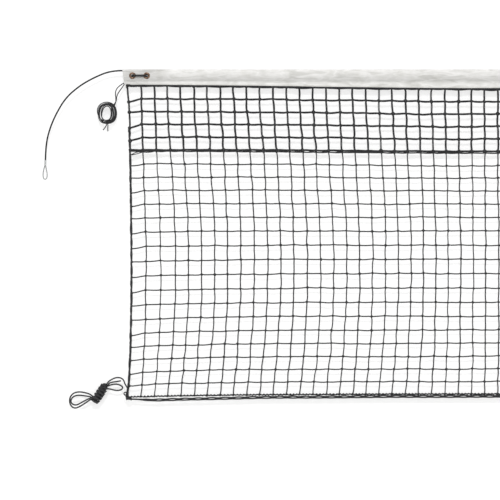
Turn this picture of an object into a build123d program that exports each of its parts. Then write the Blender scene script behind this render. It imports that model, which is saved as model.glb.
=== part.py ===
"""A doubles tennis net: knotted netting, cloth headband, headband cable and tie cords.

Millimetres. X runs along the net, Z is up and the net hangs in the plane Y = 0 with its
front towards -Y. The origin is on the cable's axis, at the middle of the net's length.
"""

import os
from math import cos, pi, radians, sin, tan

from build123d import *

# ---------------------------------------------------------------- driving dimensions
NET_LENGTH = 12720.0  # between the two edge uprights of the netting
COLUMNS = 296  # meshes along the net
DOUBLE_ROWS = 5  # meshes of doubled twine under the headband
SINGLE_ROWS = 18  # meshes of single twine below them
DOUBLE_ROW_HEIGHT = 41.6
SINGLE_ROW_HEIGHT = 44.0

# headband: one tape folded over the cable and sewn into a hem
BAND_HEIGHT = 50.0
BAND_ABOVE_CABLE = 4.2
BAND_PLY = 1.0  # thickness of the tape
HEM_THICKNESS = 3.0  # two plies and the seam allowance
HEM_HEIGHT = 15.0  # the flat strip below the sleeve
SLEEVE_BULGE = 6.5  # half depth of the loose sleeve
TUNNEL_CLEARANCE = 0.5  # round the cable
BAND_FLAT_END = 90.0  # pressed flat for the eyelets
BAND_BLEND = 60.0  # from the flat end to the loose sleeve
BAND_TOP_OVERHANG = 17.5  # past the edge upright, along the top
BAND_BOTTOM_OVERHANG = 10.4  # past the edge upright, along the hem

# end patches and eyelets
PATCH_LENGTH = 78.0
PATCH_THICKNESS = 0.8
PATCH_MARGIN = 1.2  # patch edge to the hem's edge
EYELET_HOLE_RADIUS = 5.0
EYELET_BARREL_WALL = 0.8
EYELET_FLANGE_RADIUS = 11.0
EYELET_FLANGE_THICKNESS = 1.2
EYELET_LIP_RADIUS = 7.4
EYELET_LIP_THICKNESS = 0.7
WASHER_THICKNESS = 0.8
EYELET_FIT = 0.1  # barrel to cloth and to washer
EYELET_DROP = 16.5  # eyelet centre below the cable
FIRST_EYELET_INSET = 16.0  # from the edge upright
EYELET_SPACING = 46.0

# twine, ropes and lacing
DOUBLE_UPRIGHT_WIDTH = 5.6  # two twines side by side
DOUBLE_LINE_WIDTH = 4.4
SINGLE_TWINE_WIDTH = 2.8
TWINE_DEPTH = 2.8
HEAD_ROPE_WIDTH = 4.0
JOINING_CORD_WIDTH = 3.0
JOINING_GAP = 2.0  # between the two nets along the joint
SIDE_ROPE_WIDTH = 5.0
SIDE_ROPE_DROP = 187.0  # its upper end, below the cable
BOTTOM_ROPE_WIDTH = 5.0
BOTTOM_ROPE_GAP = 3.0  # below the netting's last line
LASHING_WIDTH = 6.0
LASHING_THICKNESS = 2.0
LASHING_FIT = 0.2
LASHING_EVERY = 7  # meshes between two lashings of the bottom rope
CORNER_KNOT_WIDTH = 14.0
CORNER_KNOT_DEPTH = 9.0
CORNER_KNOT_HEIGHT = 16.0

# headband cable
CABLE_DIAMETER = 5.4
CABLE_STEEL_DIAMETER = 3.8
CABLE_LAYER_FIT = 0.05
FERRULE_DIAMETER = 7.6
FERRULE_LENGTH = 16.0
EYE_WIDTH = 18.0
EYE_LENGTH = 48.0
EYE_ROPE_WIDTH = 3.8
EYE_TIP_RADIUS = 2.6

# tie cords
UPPER_TIE_DIAMETER = 3.3
UPPER_TIE_GAP = 0.4  # between its two strands
STOPPER_RADIUS = 6.6  # knot behind the second eyelet
STOPPER_DEPTH = 7.0
LOWER_TIE_DIAMETER = 4.8
COIL_WIDTH = 68.0
COIL_HEIGHT = 75.0
COIL_HOLE_WIDTH = 32.0
COIL_HOLE_HEIGHT = 43.0
COIL_DEPTH = 13.0
SPINDLE_DIAMETER = 28.0
SPINDLE_END_DIAMETER = 22.0
OUTER_LOOPS = (88.0, 56.0)  # length and height of the loops past the spindle's foot
OUTER_LOOPS_HOLE = (52.0, 32.0)
OUTER_LOOPS_TILT = 20.0
INNER_LOOPS = (62.0, 37.0)  # and of those past its top
INNER_LOOPS_HOLE = (37.0, 18.0)
INNER_LOOPS_TILT = 12.0
HANK_LOOP_DEPTH = 10.0
CORD_SIDES = 6  # flats round a cord's plain tube
OVAL_SIDES = 18  # flats round a coil's or a loop's plain outline
SPINDLE_SIDES = 12
KNOT_SIDES = 8

# ---------------------------------------------------------------- derived places
HALF = NET_LENGTH / 2
PITCH = NET_LENGTH / COLUMNS
BAND_TOP = BAND_ABOVE_CABLE
BAND_BOTTOM = BAND_TOP - BAND_HEIGHT
HEM_TOP = BAND_BOTTOM + HEM_HEIGHT
HEM_FACE = HEM_THICKNESS / 2
PATCH_FACE = HEM_FACE + PATCH_THICKNESS
CABLE_RADIUS = CABLE_DIAMETER / 2
TUNNEL_RADIUS = CABLE_RADIUS + TUNNEL_CLEARANCE
FOLD_RADIUS = TUNNEL_RADIUS + BAND_PLY
EYELET_BARREL_RADIUS = EYELET_HOLE_RADIUS + EYELET_BARREL_WALL
EYELET_INSETS = (FIRST_EYELET_INSET, FIRST_EYELET_INSET + EYELET_SPACING)

HEAD_ROPE_BOTTOM = BAND_BOTTOM - HEAD_ROPE_WIDTH
UPRIGHT_FRONT = HEAD_ROPE_WIDTH / 2  # uprights hang behind the head rope
LINE_FRONT = UPRIGHT_FRONT - TWINE_DEPTH  # lines cross in front of the uprights
UPRIGHT_BACK = UPRIGHT_FRONT + TWINE_DEPTH
JOINT_TOP = BAND_BOTTOM - HEAD_ROPE_WIDTH - DOUBLE_ROWS * DOUBLE_ROW_HEIGHT
JOINT_BOTTOM = JOINT_TOP - JOINING_GAP
NET_BOTTOM = JOINT_BOTTOM - SINGLE_ROWS * SINGLE_ROW_HEIGHT
BOTTOM_ROPE_TOP = NET_BOTTOM - BOTTOM_ROPE_GAP
BOTTOM_ROPE_BOTTOM = BOTTOM_ROPE_TOP - BOTTOM_ROPE_WIDTH
SIDE_ROPE_OUT = HALF + DOUBLE_UPRIGHT_WIDTH / 2 + SIDE_ROPE_WIDTH
SIDE_ROPE_IN = SIDE_ROPE_OUT - SIDE_ROPE_WIDTH

made = []


# ---------------------------------------------------------------- small helpers
def block(x_low, x_high, y_low, y_high, z_low, z_high):
    """A box between two corners."""
    solid = Box(x_high - x_low, y_high - y_low, z_high - z_low)
    return Pos((x_low + x_high) / 2, (y_low + y_high) / 2, (z_low + z_high) / 2) * solid


def mirrored(solids):
    """The same solids at the right-hand end."""
    return [mirror(solid, about=Plane.YZ) for solid in solids]


def write(name, solids):
    """Writes one node from its separate solids."""
    solids = list(solids)
    shape = solids[0] if len(solids) == 1 else Compound(children=solids)
    shape.label = name
    export_step(shape, f"parts/{name}.step")
    made.append(name)


def write_pair(name, solids):
    """Writes a left node and its mirror image."""
    solids = list(solids)
    right = mirrored(solids)
    write(f"{name}_left", solids)
    write(f"{name}_right", right)


def left_end(points, level=0.0):
    """Points given as (distance outside the edge upright, y, height over a level), at the left-hand end."""
    return [Vector(-HALF - out, y, level + height) for out, y, height in points]


def corner_radii(points):
    """The largest arc that each corner's two runs allow."""
    radii = []
    for before, corner, after in zip(points, points[1:], points[2:]):
        run_in = corner - before
        run_out = after - corner
        turn = radians(run_in.get_angle(run_out))
        radii.append(0.45 * min(run_in.length, run_out.length) / tan(turn / 2))
    return radii


def cord_tube(name, points, diameter):
    """A plain tube of straight runs joined by tangent arcs."""
    radii = corner_radii(points)
    path = FilletPolyline(*points, radius=radii)
    start = Plane(origin=path @ 0, z_dir=path % 0)
    section = start * RegularPolygon(diameter / 2, CORD_SIDES)
    tube = sweep(section, path=path)
    expected = section.area * path.length
    print(
        f"{name}: length {path.length:.1f}, tightest arc {min(radii):.1f},"
        f" volume {tube.volume:.0f} against {expected:.0f}"
    )
    return tube.solid()


# ---------------------------------------------------------------- headband
def sleeve_outline(half_depth, belly, foot, hem_top, bottom):
    """Closed outline of the folded tape: over the cable, down both sides, round the hem."""
    over = ThreePointArc((-half_depth, 0), (0, half_depth), (half_depth, 0))
    front = ThreePointArc((half_depth, 0), belly, (foot, hem_top))
    back = ThreePointArc((-foot, hem_top), (-belly[0], belly[1]), (-half_depth, 0))
    edge = Polyline((foot, hem_top), (foot, bottom), (-foot, bottom), (-foot, hem_top))
    return make_face([over, front, *edge.edges(), back])


def cavity_outline(radius, belly, low):
    """Closed outline of the space inside the fold, round at the cable."""
    over = ThreePointArc((-radius, 0), (0, radius), (radius, 0))
    front = ThreePointArc((radius, 0), belly, (0, low))
    back = ThreePointArc((0, low), (-belly[0], belly[1]), (-radius, 0))
    return make_face([over, front, back])


def across(x, face):
    """Stands an outline drawn as (y, z) across the net at x."""
    return Plane(origin=(x, 0, 0), x_dir=(0, 1, 0), z_dir=(1, 0, 0)) * face


def band_faces(x, loose):
    """Outer and inner outline of the headband, loose or pressed flat."""
    if loose:
        belly_z = (BAND_TOP + HEM_TOP) / 2
        outer = sleeve_outline(FOLD_RADIUS, (SLEEVE_BULGE, belly_z), HEM_FACE, HEM_TOP, BAND_BOTTOM)
        inner = cavity_outline(TUNNEL_RADIUS, (SLEEVE_BULGE - BAND_PLY, belly_z), HEM_TOP + BAND_PLY)
    else:
        turn = pi / 5
        shoulder = (FOLD_RADIUS * cos(turn), -FOLD_RADIUS * sin(turn))
        fold_foot = -((FOLD_RADIUS**2 - HEM_FACE**2) ** 0.5)
        outer = sleeve_outline(FOLD_RADIUS, shoulder, HEM_FACE, fold_foot, BAND_BOTTOM)
        low_side = (TUNNEL_RADIUS * cos(turn), -TUNNEL_RADIUS * sin(turn))
        inner = cavity_outline(TUNNEL_RADIUS, low_side, -TUNNEL_RADIUS)
    return across(x, outer), across(x, inner)


def end_slope(out_by):
    """Everything outside the band's slanted cut, to be taken away at the left-hand end."""
    reach = BAND_TOP_OVERHANG + out_by
    top = BAND_TOP + 1
    slope = (BAND_TOP_OVERHANG - BAND_BOTTOM_OVERHANG) / BAND_HEIGHT
    top_x = -HALF - BAND_TOP_OVERHANG - slope
    bottom = BAND_BOTTOM - 1
    bottom_x = -HALF - BAND_BOTTOM_OVERHANG + slope
    outline = Polyline(
        (top_x, top), (bottom_x, bottom), (-HALF - reach, bottom), (-HALF - reach, top), close=True
    )
    return extrude(Plane.XZ * make_face(outline), amount=FOLD_RADIUS * 4, both=True)


def eyelet_holes(radius):
    """Round cutters through both plies at the left-hand end."""
    holes = []
    for inset in EYELET_INSETS:
        cutter = Cylinder(radius, FOLD_RADIUS * 4, rotation=(90, 0, 0))
        holes.append(Pos(-HALF + inset, 0, -EYELET_DROP) * cutter)
    return holes


def headband():
    """One tape, folded over the cable, loose in the middle and pressed flat at its ends."""
    end_x = -HALF - BAND_TOP_OVERHANG - 5
    flat_x = -HALF + BAND_FLAT_END
    loose_x = flat_x + BAND_BLEND
    flat_outer, flat_inner = band_faces(end_x, loose=False)
    blend_outer, blend_inner = band_faces(flat_x, loose=False)
    loose_outer, loose_inner = band_faces(loose_x, loose=True)
    flat = extrude(flat_outer, amount=flat_x - end_x) - extrude(flat_inner, amount=flat_x - end_x)
    flat = flat - end_slope(20)
    for hole in eyelet_holes(EYELET_BARREL_RADIUS + EYELET_FIT):
        flat = flat - hole
    blend = loft([blend_outer, loose_outer], ruled=True) - loft([blend_inner, loose_inner], ruled=True)
    middle = extrude(loose_outer, amount=-2 * loose_x) - extrude(loose_inner, amount=-2 * loose_x)
    ends = [flat.solid(), blend.solid()]
    band = middle.solid()
    for piece in ends + mirrored(ends):
        band = band + piece
    return band.solid()


def end_patches():
    """A reinforcing patch on each face of the flat end."""
    top = -FOLD_RADIUS
    bottom = BAND_BOTTOM + PATCH_MARGIN
    x_low = -HALF - BAND_TOP_OVERHANG - 5
    x_high = -HALF + PATCH_LENGTH
    front = block(x_low, x_high, -PATCH_FACE, -HEM_FACE, bottom, top)
    back = block(x_low, x_high, HEM_FACE, PATCH_FACE, bottom, top)
    cutters = [end_slope(20)] + eyelet_holes(EYELET_BARREL_RADIUS + EYELET_FIT)
    patches = []
    for patch in (front, back):
        for cutter in cutters:
            patch = patch - cutter
        patches.append(patch.solid())
    return patches


def eyelets():
    """Brass eyelets: front flange, barrel through the cloth, and the lip rolled over the washer."""
    back = PATCH_FACE + WASHER_THICKNESS
    outline = Polyline(
        (EYELET_HOLE_RADIUS, -PATCH_FACE - EYELET_FLANGE_THICKNESS),
        (EYELET_FLANGE_RADIUS - EYELET_FLANGE_THICKNESS, -PATCH_FACE - EYELET_FLANGE_THICKNESS),
        (EYELET_FLANGE_RADIUS, -PATCH_FACE),
        (EYELET_BARREL_RADIUS, -PATCH_FACE),
        (EYELET_BARREL_RADIUS, back),
        (EYELET_LIP_RADIUS, back),
        (EYELET_LIP_RADIUS - EYELET_LIP_THICKNESS, back + EYELET_LIP_THICKNESS),
        (EYELET_HOLE_RADIUS, back + EYELET_LIP_THICKNESS),
        close=True,
    )
    ring = revolve(make_face(outline), axis=Axis.Y).solid()
    return [Pos(-HALF + inset, 0, -EYELET_DROP) * ring for inset in EYELET_INSETS]


def eyelet_washers():
    """Flat washers under the rolled lips."""
    washer = Cylinder(EYELET_FLANGE_RADIUS, WASHER_THICKNESS, rotation=(90, 0, 0))
    washer = washer - Cylinder(EYELET_BARREL_RADIUS + EYELET_FIT, WASHER_THICKNESS * 2, rotation=(90, 0, 0))
    y = PATCH_FACE + WASHER_THICKNESS / 2
    return [Pos(-HALF + inset, y, -EYELET_DROP) * washer.solid() for inset in EYELET_INSETS]


# ---------------------------------------------------------------- netting, ropes and lacing
def uprights(width, z_low, z_high):
    """One straight cord for each column line, from edge to edge."""
    cords = []
    for column in range(COLUMNS + 1):
        x = -HALF + column * PITCH
        cords.append(block(x - width / 2, x + width / 2, UPRIGHT_FRONT, UPRIGHT_BACK, z_low, z_high))
    return cords


def line(width, z, half_width_x):
    """One straight cord along the net, in front of the uprights."""
    return block(-half_width_x, half_width_x, LINE_FRONT, UPRIGHT_FRONT, z - width / 2, z + width / 2)


def double_netting():
    """Netting of doubled twine: its uprights hang behind the head rope."""
    reach = HALF + DOUBLE_UPRIGHT_WIDTH / 2
    cords = uprights(DOUBLE_UPRIGHT_WIDTH, JOINT_TOP, BAND_BOTTOM)
    for row in range(1, DOUBLE_ROWS):
        z = HEAD_ROPE_BOTTOM - row * DOUBLE_ROW_HEIGHT
        cords.append(line(DOUBLE_LINE_WIDTH, z, reach))
    cords.append(line(DOUBLE_LINE_WIDTH, JOINT_TOP + DOUBLE_LINE_WIDTH / 2, reach))
    return cords


def single_netting():
    """Netting of single twine, from the joint down to its last line."""
    reach = HALF + SINGLE_TWINE_WIDTH / 2
    cords = uprights(SINGLE_TWINE_WIDTH, NET_BOTTOM, JOINT_BOTTOM)
    cords.append(line(SINGLE_TWINE_WIDTH, JOINT_BOTTOM - SINGLE_TWINE_WIDTH / 2, reach))
    for row in range(1, SINGLE_ROWS):
        cords.append(line(SINGLE_TWINE_WIDTH, JOINT_BOTTOM - row * SINGLE_ROW_HEIGHT, reach))
    cords.append(line(SINGLE_TWINE_WIDTH, NET_BOTTOM + SINGLE_TWINE_WIDTH / 2, reach))
    return cords


def head_rope():
    """The netting's top line, sewn along the hem's lower edge."""
    reach = HALF - CORNER_KNOT_WIDTH / 2
    half_depth = HEAD_ROPE_WIDTH / 2
    return block(-reach, reach, -half_depth, half_depth, HEAD_ROPE_BOTTOM, BAND_BOTTOM)


def joining_cord():
    """Laces the two nets' edges together, in front of both."""
    middle = (JOINT_TOP + JOINT_BOTTOM) / 2
    half_width = JOINING_CORD_WIDTH / 2
    return block(
        -HALF, HALF, LINE_FRONT - JOINING_CORD_WIDTH, LINE_FRONT, middle - half_width, middle + half_width
    )


def side_rope():
    """Stiffens the edge from two rows under the headband down to the bottom rope."""
    y_low = (UPRIGHT_FRONT + UPRIGHT_BACK - SIDE_ROPE_WIDTH) / 2
    return block(
        -SIDE_ROPE_OUT, -SIDE_ROPE_IN, y_low, y_low + SIDE_ROPE_WIDTH, BOTTOM_ROPE_TOP, -SIDE_ROPE_DROP
    )


def side_lashings():
    """A loop at each row, round the side rope and the edge upright."""
    y_mid = (UPRIGHT_FRONT + UPRIGHT_BACK) / 2
    depth = SIDE_ROPE_WIDTH + 2 * LASHING_FIT
    loops = []
    for row in range(1, SINGLE_ROWS):
        z = JOINT_BOTTOM - (row - 0.5) * SINGLE_ROW_HEIGHT
        x_low = -SIDE_ROPE_OUT - LASHING_FIT
        x_high = -HALF + SINGLE_TWINE_WIDTH / 2 + LASHING_FIT
        z_low = z - LASHING_WIDTH
        z_high = z + LASHING_WIDTH
        hole = block(x_low, x_high, y_mid - depth / 2, y_mid + depth / 2, z_low, z_high)
        grow = LASHING_THICKNESS
        body = block(
            x_low - grow,
            x_high + grow,
            y_mid - depth / 2 - grow,
            y_mid + depth / 2 + grow,
            z - LASHING_WIDTH / 2,
            z + LASHING_WIDTH / 2,
        )
        loops.append((body - hole).solid())
    return loops


def bottom_rope():
    """Carries the net's lower edge, just below the last line."""
    y_mid = (LINE_FRONT + UPRIGHT_FRONT) / 2
    half_depth = BOTTOM_ROPE_WIDTH / 2
    return block(
        -SIDE_ROPE_OUT,
        SIDE_ROPE_OUT,
        y_mid - half_depth,
        y_mid + half_depth,
        BOTTOM_ROPE_BOTTOM,
        BOTTOM_ROPE_TOP,
    )


def bottom_lashings():
    """Loops that hold the bottom rope to the last line, every few meshes."""
    y_mid = (LINE_FRONT + UPRIGHT_FRONT) / 2
    depth = BOTTOM_ROPE_WIDTH + 2 * LASHING_FIT
    z_low = BOTTOM_ROPE_BOTTOM - LASHING_FIT
    z_high = NET_BOTTOM + SINGLE_TWINE_WIDTH + LASHING_FIT
    grow = LASHING_THICKNESS
    loops = []
    for column in range(LASHING_EVERY, COLUMNS, LASHING_EVERY):
        x = -HALF + (column + 0.5) * PITCH
        x_low = x - LASHING_WIDTH
        x_high = x + LASHING_WIDTH
        hole = block(x_low, x_high, y_mid - depth / 2, y_mid + depth / 2, z_low, z_high)
        body = block(
            x - LASHING_WIDTH / 2,
            x + LASHING_WIDTH / 2,
            y_mid - depth / 2 - grow,
            y_mid + depth / 2 + grow,
            z_low - grow,
            z_high + grow,
        )
        loops.append((body - hole).solid())
    return loops


def corner_knots():
    """The knots at the headband's corner and at the foot of the side rope."""
    y_back = LINE_FRONT
    top = block(
        -HALF - CORNER_KNOT_WIDTH / 2,
        -HALF + CORNER_KNOT_WIDTH / 2,
        y_back - CORNER_KNOT_DEPTH / 2,
        y_back,
        BAND_BOTTOM - CORNER_KNOT_HEIGHT / 2,
        BAND_BOTTOM,
    )
    rope_front = (LINE_FRONT + UPRIGHT_FRONT) / 2 - BOTTOM_ROPE_WIDTH / 2
    foot = block(
        -SIDE_ROPE_OUT,
        -SIDE_ROPE_OUT + CORNER_KNOT_WIDTH,
        rope_front - CORNER_KNOT_DEPTH,
        rope_front,
        BOTTOM_ROPE_BOTTOM,
        BOTTOM_ROPE_BOTTOM + CORNER_KNOT_HEIGHT,
    )
    return [top, foot]


# ---------------------------------------------------------------- headband cable
# Each route is a list of (distance outside the edge upright, y, z).
CABLE_ROUTE = [
    (BAND_TOP_OVERHANG, 0.0, 0.0),
    (55.0, 0.0, 0.0),
    (113.0, -1.5, -24.5),
    (158.0, -3.0, -51.0),
    (202.0, -3.5, -89.5),
    (234.0, -2.5, -144.0),
    (254.0, -1.0, -192.0),
    (266.0, 0.5, -243.0),
    (267.0, 1.0, -291.0),
]


def cable_in_band(diameter):
    """The straight length of cable inside the headband."""
    reach = HALF + BAND_TOP_OVERHANG
    return Cylinder(diameter / 2, 2 * reach, rotation=(0, 90, 0))


def cable_jacket():
    """The cable's black coating."""
    reach = HALF + BAND_TOP_OVERHANG
    bore = Cylinder(CABLE_STEEL_DIAMETER / 2 + CABLE_LAYER_FIT, 2 * reach + 2, rotation=(0, 90, 0))
    return (cable_in_band(CABLE_DIAMETER) - bore).solid()


def eye_frame():
    """Plane at the cable's end: its Z continues the cable."""
    points = left_end(CABLE_ROUTE)
    along = (points[-1] - points[-2]).normalized()
    return Plane(origin=points[-1], x_dir=(1, 0, 0), z_dir=along)


def ferrule():
    """The pressed sleeve that closes the eye."""
    sleeve = extrude(eye_frame() * Circle(FERRULE_DIAMETER / 2), amount=FERRULE_LENGTH)
    return sleeve.solid()


def eye_outline(grow):
    """A drop: round at the far end, tapering to the ferrule."""
    end_radius = EYE_WIDTH / 2 - EYE_ROPE_WIDTH + grow
    tip_radius = EYE_TIP_RADIUS - EYE_ROPE_WIDTH / 2 + grow
    far = EYE_LENGTH - EYE_WIDTH / 2
    near = EYE_ROPE_WIDTH + tip_radius - grow
    round_end = Pos(0, -far) * Circle(end_radius)
    tip = Pos(0, -near) * Circle(tip_radius)
    return make_hull(round_end.edges() + tip.edges())


def cable_eye():
    """The rope's end loop."""
    outline = eye_outline(EYE_ROPE_WIDTH) - eye_outline(0)
    frame = eye_frame()
    flat = Plane(
        origin=frame.origin + frame.z_dir * FERRULE_LENGTH, x_dir=frame.x_dir, z_dir=(0, -1, 0)
    )
    loop = extrude(flat * outline, amount=EYE_ROPE_WIDTH / 2, both=True)
    top_cut = Plane(origin=flat.origin, x_dir=frame.x_dir, z_dir=frame.z_dir)
    return split(loop, bisect_by=top_cut, keep=Keep.TOP).solid()


# ---------------------------------------------------------------- tie cords
BRIDGE_Y = -PATCH_FACE - EYELET_FLANGE_THICKNESS - UPPER_TIE_DIAMETER / 2 - 0.5
BEHIND_Y = PATCH_FACE + WASHER_THICKNESS + EYELET_LIP_THICKNESS + UPPER_TIE_DIAMETER / 2 + 1.0
LIP_BACK = PATCH_FACE + WASHER_THICKNESS + EYELET_LIP_THICKNESS
STRAND_OFFSET = (UPPER_TIE_DIAMETER + UPPER_TIE_GAP) / 2

# behind the band, from its corner to the first eyelet
HELD_OUTER = [(12.6, 5.6, -40.5), (-3.0, 6.6, -31.5)]
HELD_INNER = [(11.4, 5.2, -44.9), (4.0, 5.9, -33.5)]
# free, from the band's corner to the coil
UPPER_TIE_OUTER = [
    (12.6, 5.6, -40.5),
    (21.5, 5.0, -45.6),
    (32.5, 3.4, -54.5),
    (39.0, 2.4, -66.0),
    (39.8, 1.6, -78.0),
    (37.6, 1.4, -90.5),
    (38.6, 0.9, -104.5),
    (38.0, 0.5, -118.5),
]
UPPER_TIE_INNER = [
    (11.4, 5.2, -44.9),
    (17.6, 4.6, -54.4),
    (24.6, 1.4, -64.0),
    (31.4, -1.2, -75.0),
    (36.0, -2.6, -86.5),
    (35.4, -2.8, -99.0),
    (34.2, -2.7, -111.5),
    (35.0, -2.6, -123.5),
]
UPPER_TAIL_OUTER = [(67.6, -2.2, -175.5), (72.0, -2.6, -184.0), (79.6, -2.0, -193.5)]
UPPER_TAIL_INNER = [(63.4, 2.0, -175.3), (64.6, 2.2, -186.0), (64.0, 2.0, -197.0)]
COIL_CENTRE = (67.0, -138.0)
COIL_HOLE_CENTRE = (65.5, -139.5)

# heights over the bottom rope's underside
LOWER_TIE_ROUTE = [
    (-0.6, -6.4, CORNER_KNOT_HEIGHT),
    (-0.6, -6.4, 29.0),
    (8.6, -6.8, 41.0),
    (11.6, -6.0, 53.5),
    (20.5, -4.5, 63.5),
    (37.0, -2.5, 64.8),
    (52.0, -1.0, 57.0),
    (63.5, -0.5, 48.3),
]
SPINDLE_TOP = (70.0, 0.0, 41.8)
SPINDLE_FOOT = (108.5, 0.0, -19.7)
OUTER_LOOPS_CENTRE = (149.5, -10.7)  # beyond the spindle's foot
OUTER_LOOPS_HOLE_CENTRE = (156.0, -12.2)
INNER_LOOPS_CENTRE = (46.5, 36.8)  # between the net and the spindle's top
INNER_LOOPS_HOLE_CENTRE = (41.5, 35.3)


def eyelet_tie_strand(held, shift):
    """One strand: behind the band, out through one eyelet, along the front, in through the other."""
    first = -FIRST_EYELET_INSET
    second = -FIRST_EYELET_INSET - EYELET_SPACING
    z = -EYELET_DROP + shift
    points = left_end(
        held
        + [
            (first, BEHIND_Y, z),
            (first, BRIDGE_Y, z),
            (second, BRIDGE_Y, z),
            (second, LIP_BACK, z),
        ]
    )
    tight = UPPER_TIE_DIAMETER * 0.9
    path = FilletPolyline(*points, radius=[tight * 3, tight, tight, tight])
    section = Plane(origin=path @ 0, z_dir=path % 0) * RegularPolygon(UPPER_TIE_DIAMETER / 2, CORD_SIDES)
    return sweep(section, path=path).solid()


def eyelet_tie():
    """Both strands of the tie cord where the eyelets hold it, and the stopper knot behind them."""
    inset = FIRST_EYELET_INSET + EYELET_SPACING
    back = Plane(origin=(-HALF + inset, LIP_BACK, -EYELET_DROP), x_dir=(1, 0, 0), z_dir=(0, 1, 0))
    knot = extrude(back * RegularPolygon(STOPPER_RADIUS, KNOT_SIDES), amount=STOPPER_DEPTH).solid()
    return [
        eyelet_tie_strand(HELD_OUTER, STRAND_OFFSET),
        eyelet_tie_strand(HELD_INNER, -STRAND_OFFSET),
        knot,
    ]


def oval(centre, length, height, tilt=0.0, level=0.0):
    """An oval in the net's plane at the left-hand end; its centre is (outside the edge upright, height)."""
    turns = [2 * pi * side / OVAL_SIDES for side in range(OVAL_SIDES)]
    corners = [(length / 2 * cos(turn), height / 2 * sin(turn)) for turn in turns]
    place = Pos(-HALF - centre[0], level + centre[1]) * Rot(0, 0, tilt)
    return place * make_face(Polyline(*corners, close=True))


def ring_plate(outer, hole, depth):
    """A flat ring in the net's plane, the outer shape of loose turns of cord."""
    return extrude(Plane.XZ * (outer - hole), amount=depth / 2, both=True)


def upper_coil():
    """The upper tie cord's loose coil."""
    outer = oval(COIL_CENTRE, COIL_WIDTH, COIL_HEIGHT)
    hole = oval(COIL_HOLE_CENTRE, COIL_HOLE_WIDTH, COIL_HOLE_HEIGHT)
    ring = ring_plate(outer, hole, COIL_DEPTH)
    rims = ring.faces().filter_by(Axis.Y).edges()
    return chamfer(rims, COIL_DEPTH * 0.25).solid()


def hank_loops(centre, size, hole_centre, hole_size, tilt):
    """Loops of the hank lying side by side, as a flat plate with their opening."""
    outer = oval(centre, *size, tilt, BOTTOM_ROPE_BOTTOM)
    hole = oval(hole_centre, *hole_size, tilt, BOTTOM_ROPE_BOTTOM)
    return ring_plate(outer, hole, HANK_LOOP_DEPTH)


def lower_hank():
    """The lower tie cord's hank: a wrapped middle with loops out of both ends."""
    top, foot = left_end([SPINDLE_TOP, SPINDLE_FOOT], BOTTOM_ROPE_BOTTOM)
    along = (foot - top).normalized()
    stations = [
        (0.0, SPINDLE_END_DIAMETER),
        (0.3, SPINDLE_DIAMETER),
        (0.7, SPINDLE_DIAMETER),
        (1.0, SPINDLE_END_DIAMETER),
    ]
    rings = []
    for share, diameter in stations:
        place = Plane(origin=top + (foot - top) * share, x_dir=(0, 1, 0), z_dir=along)
        rings.append(place * RegularPolygon(diameter / 2, SPINDLE_SIDES))
    spindle = loft(rings, ruled=True)
    outer_loops = hank_loops(
        OUTER_LOOPS_CENTRE, OUTER_LOOPS, OUTER_LOOPS_HOLE_CENTRE, OUTER_LOOPS_HOLE, OUTER_LOOPS_TILT
    )
    inner_loops = hank_loops(
        INNER_LOOPS_CENTRE, INNER_LOOPS, INNER_LOOPS_HOLE_CENTRE, INNER_LOOPS_HOLE, INNER_LOOPS_TILT
    )
    return (spindle + outer_loops + inner_loops).solid()


# ---------------------------------------------------------------- the whole net
def build():
    os.makedirs("parts", exist_ok=True)
    write("headband", [headband()])
    write_pair("headband_patches", end_patches())
    write("eyelets", eyelets() + mirrored(eyelets()))
    write("eyelet_washers", eyelet_washers() + mirrored(eyelet_washers()))
    write("head_rope", [head_rope()])
    write("double_netting", double_netting())
    write("single_netting", single_netting())
    write("joining_cord", [joining_cord()])
    write_pair("side_rope", [side_rope()])
    write_pair("side_lashings", side_lashings())
    write("bottom_rope", [bottom_rope()])
    write("bottom_lashings", bottom_lashings())
    write_pair("corner_knots", corner_knots())

    write("cable_jacket", [cable_jacket()])
    write("cable_core", [cable_in_band(CABLE_STEEL_DIAMETER).solid()])
    write_pair("cable_end", [cord_tube("cable_end", left_end(CABLE_ROUTE), CABLE_DIAMETER)])
    write_pair("ferrule", [ferrule()])
    write_pair("cable_eye", [cable_eye()])

    ties = eyelet_tie()
    write("eyelet_ties", ties + mirrored(ties))
    strands = [
        cord_tube("upper_tie_outer", left_end(UPPER_TIE_OUTER), UPPER_TIE_DIAMETER),
        cord_tube("upper_tie_inner", left_end(UPPER_TIE_INNER), UPPER_TIE_DIAMETER),
    ]
    write("upper_tie_cords", strands + mirrored(strands))
    write_pair("upper_tie_coil", [upper_coil()])
    tails = [
        cord_tube("upper_tail_outer", left_end(UPPER_TAIL_OUTER), UPPER_TIE_DIAMETER),
        cord_tube("upper_tail_inner", left_end(UPPER_TAIL_INNER), UPPER_TIE_DIAMETER),
    ]
    write("upper_tie_tails", tails + mirrored(tails))
    lower = cord_tube("lower_tie", left_end(LOWER_TIE_ROUTE, BOTTOM_ROPE_BOTTOM), LOWER_TIE_DIAMETER)
    write("lower_tie_cords", [lower] + mirrored([lower]))
    write_pair("lower_tie_hank", [lower_hank()])
    print(len(made), "nodes")


build()
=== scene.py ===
"""The looks of a doubles tennis net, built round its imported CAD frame.

Metres. X runs along the net, Z is up and the front faces -Y, as in the frame.
"""

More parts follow.
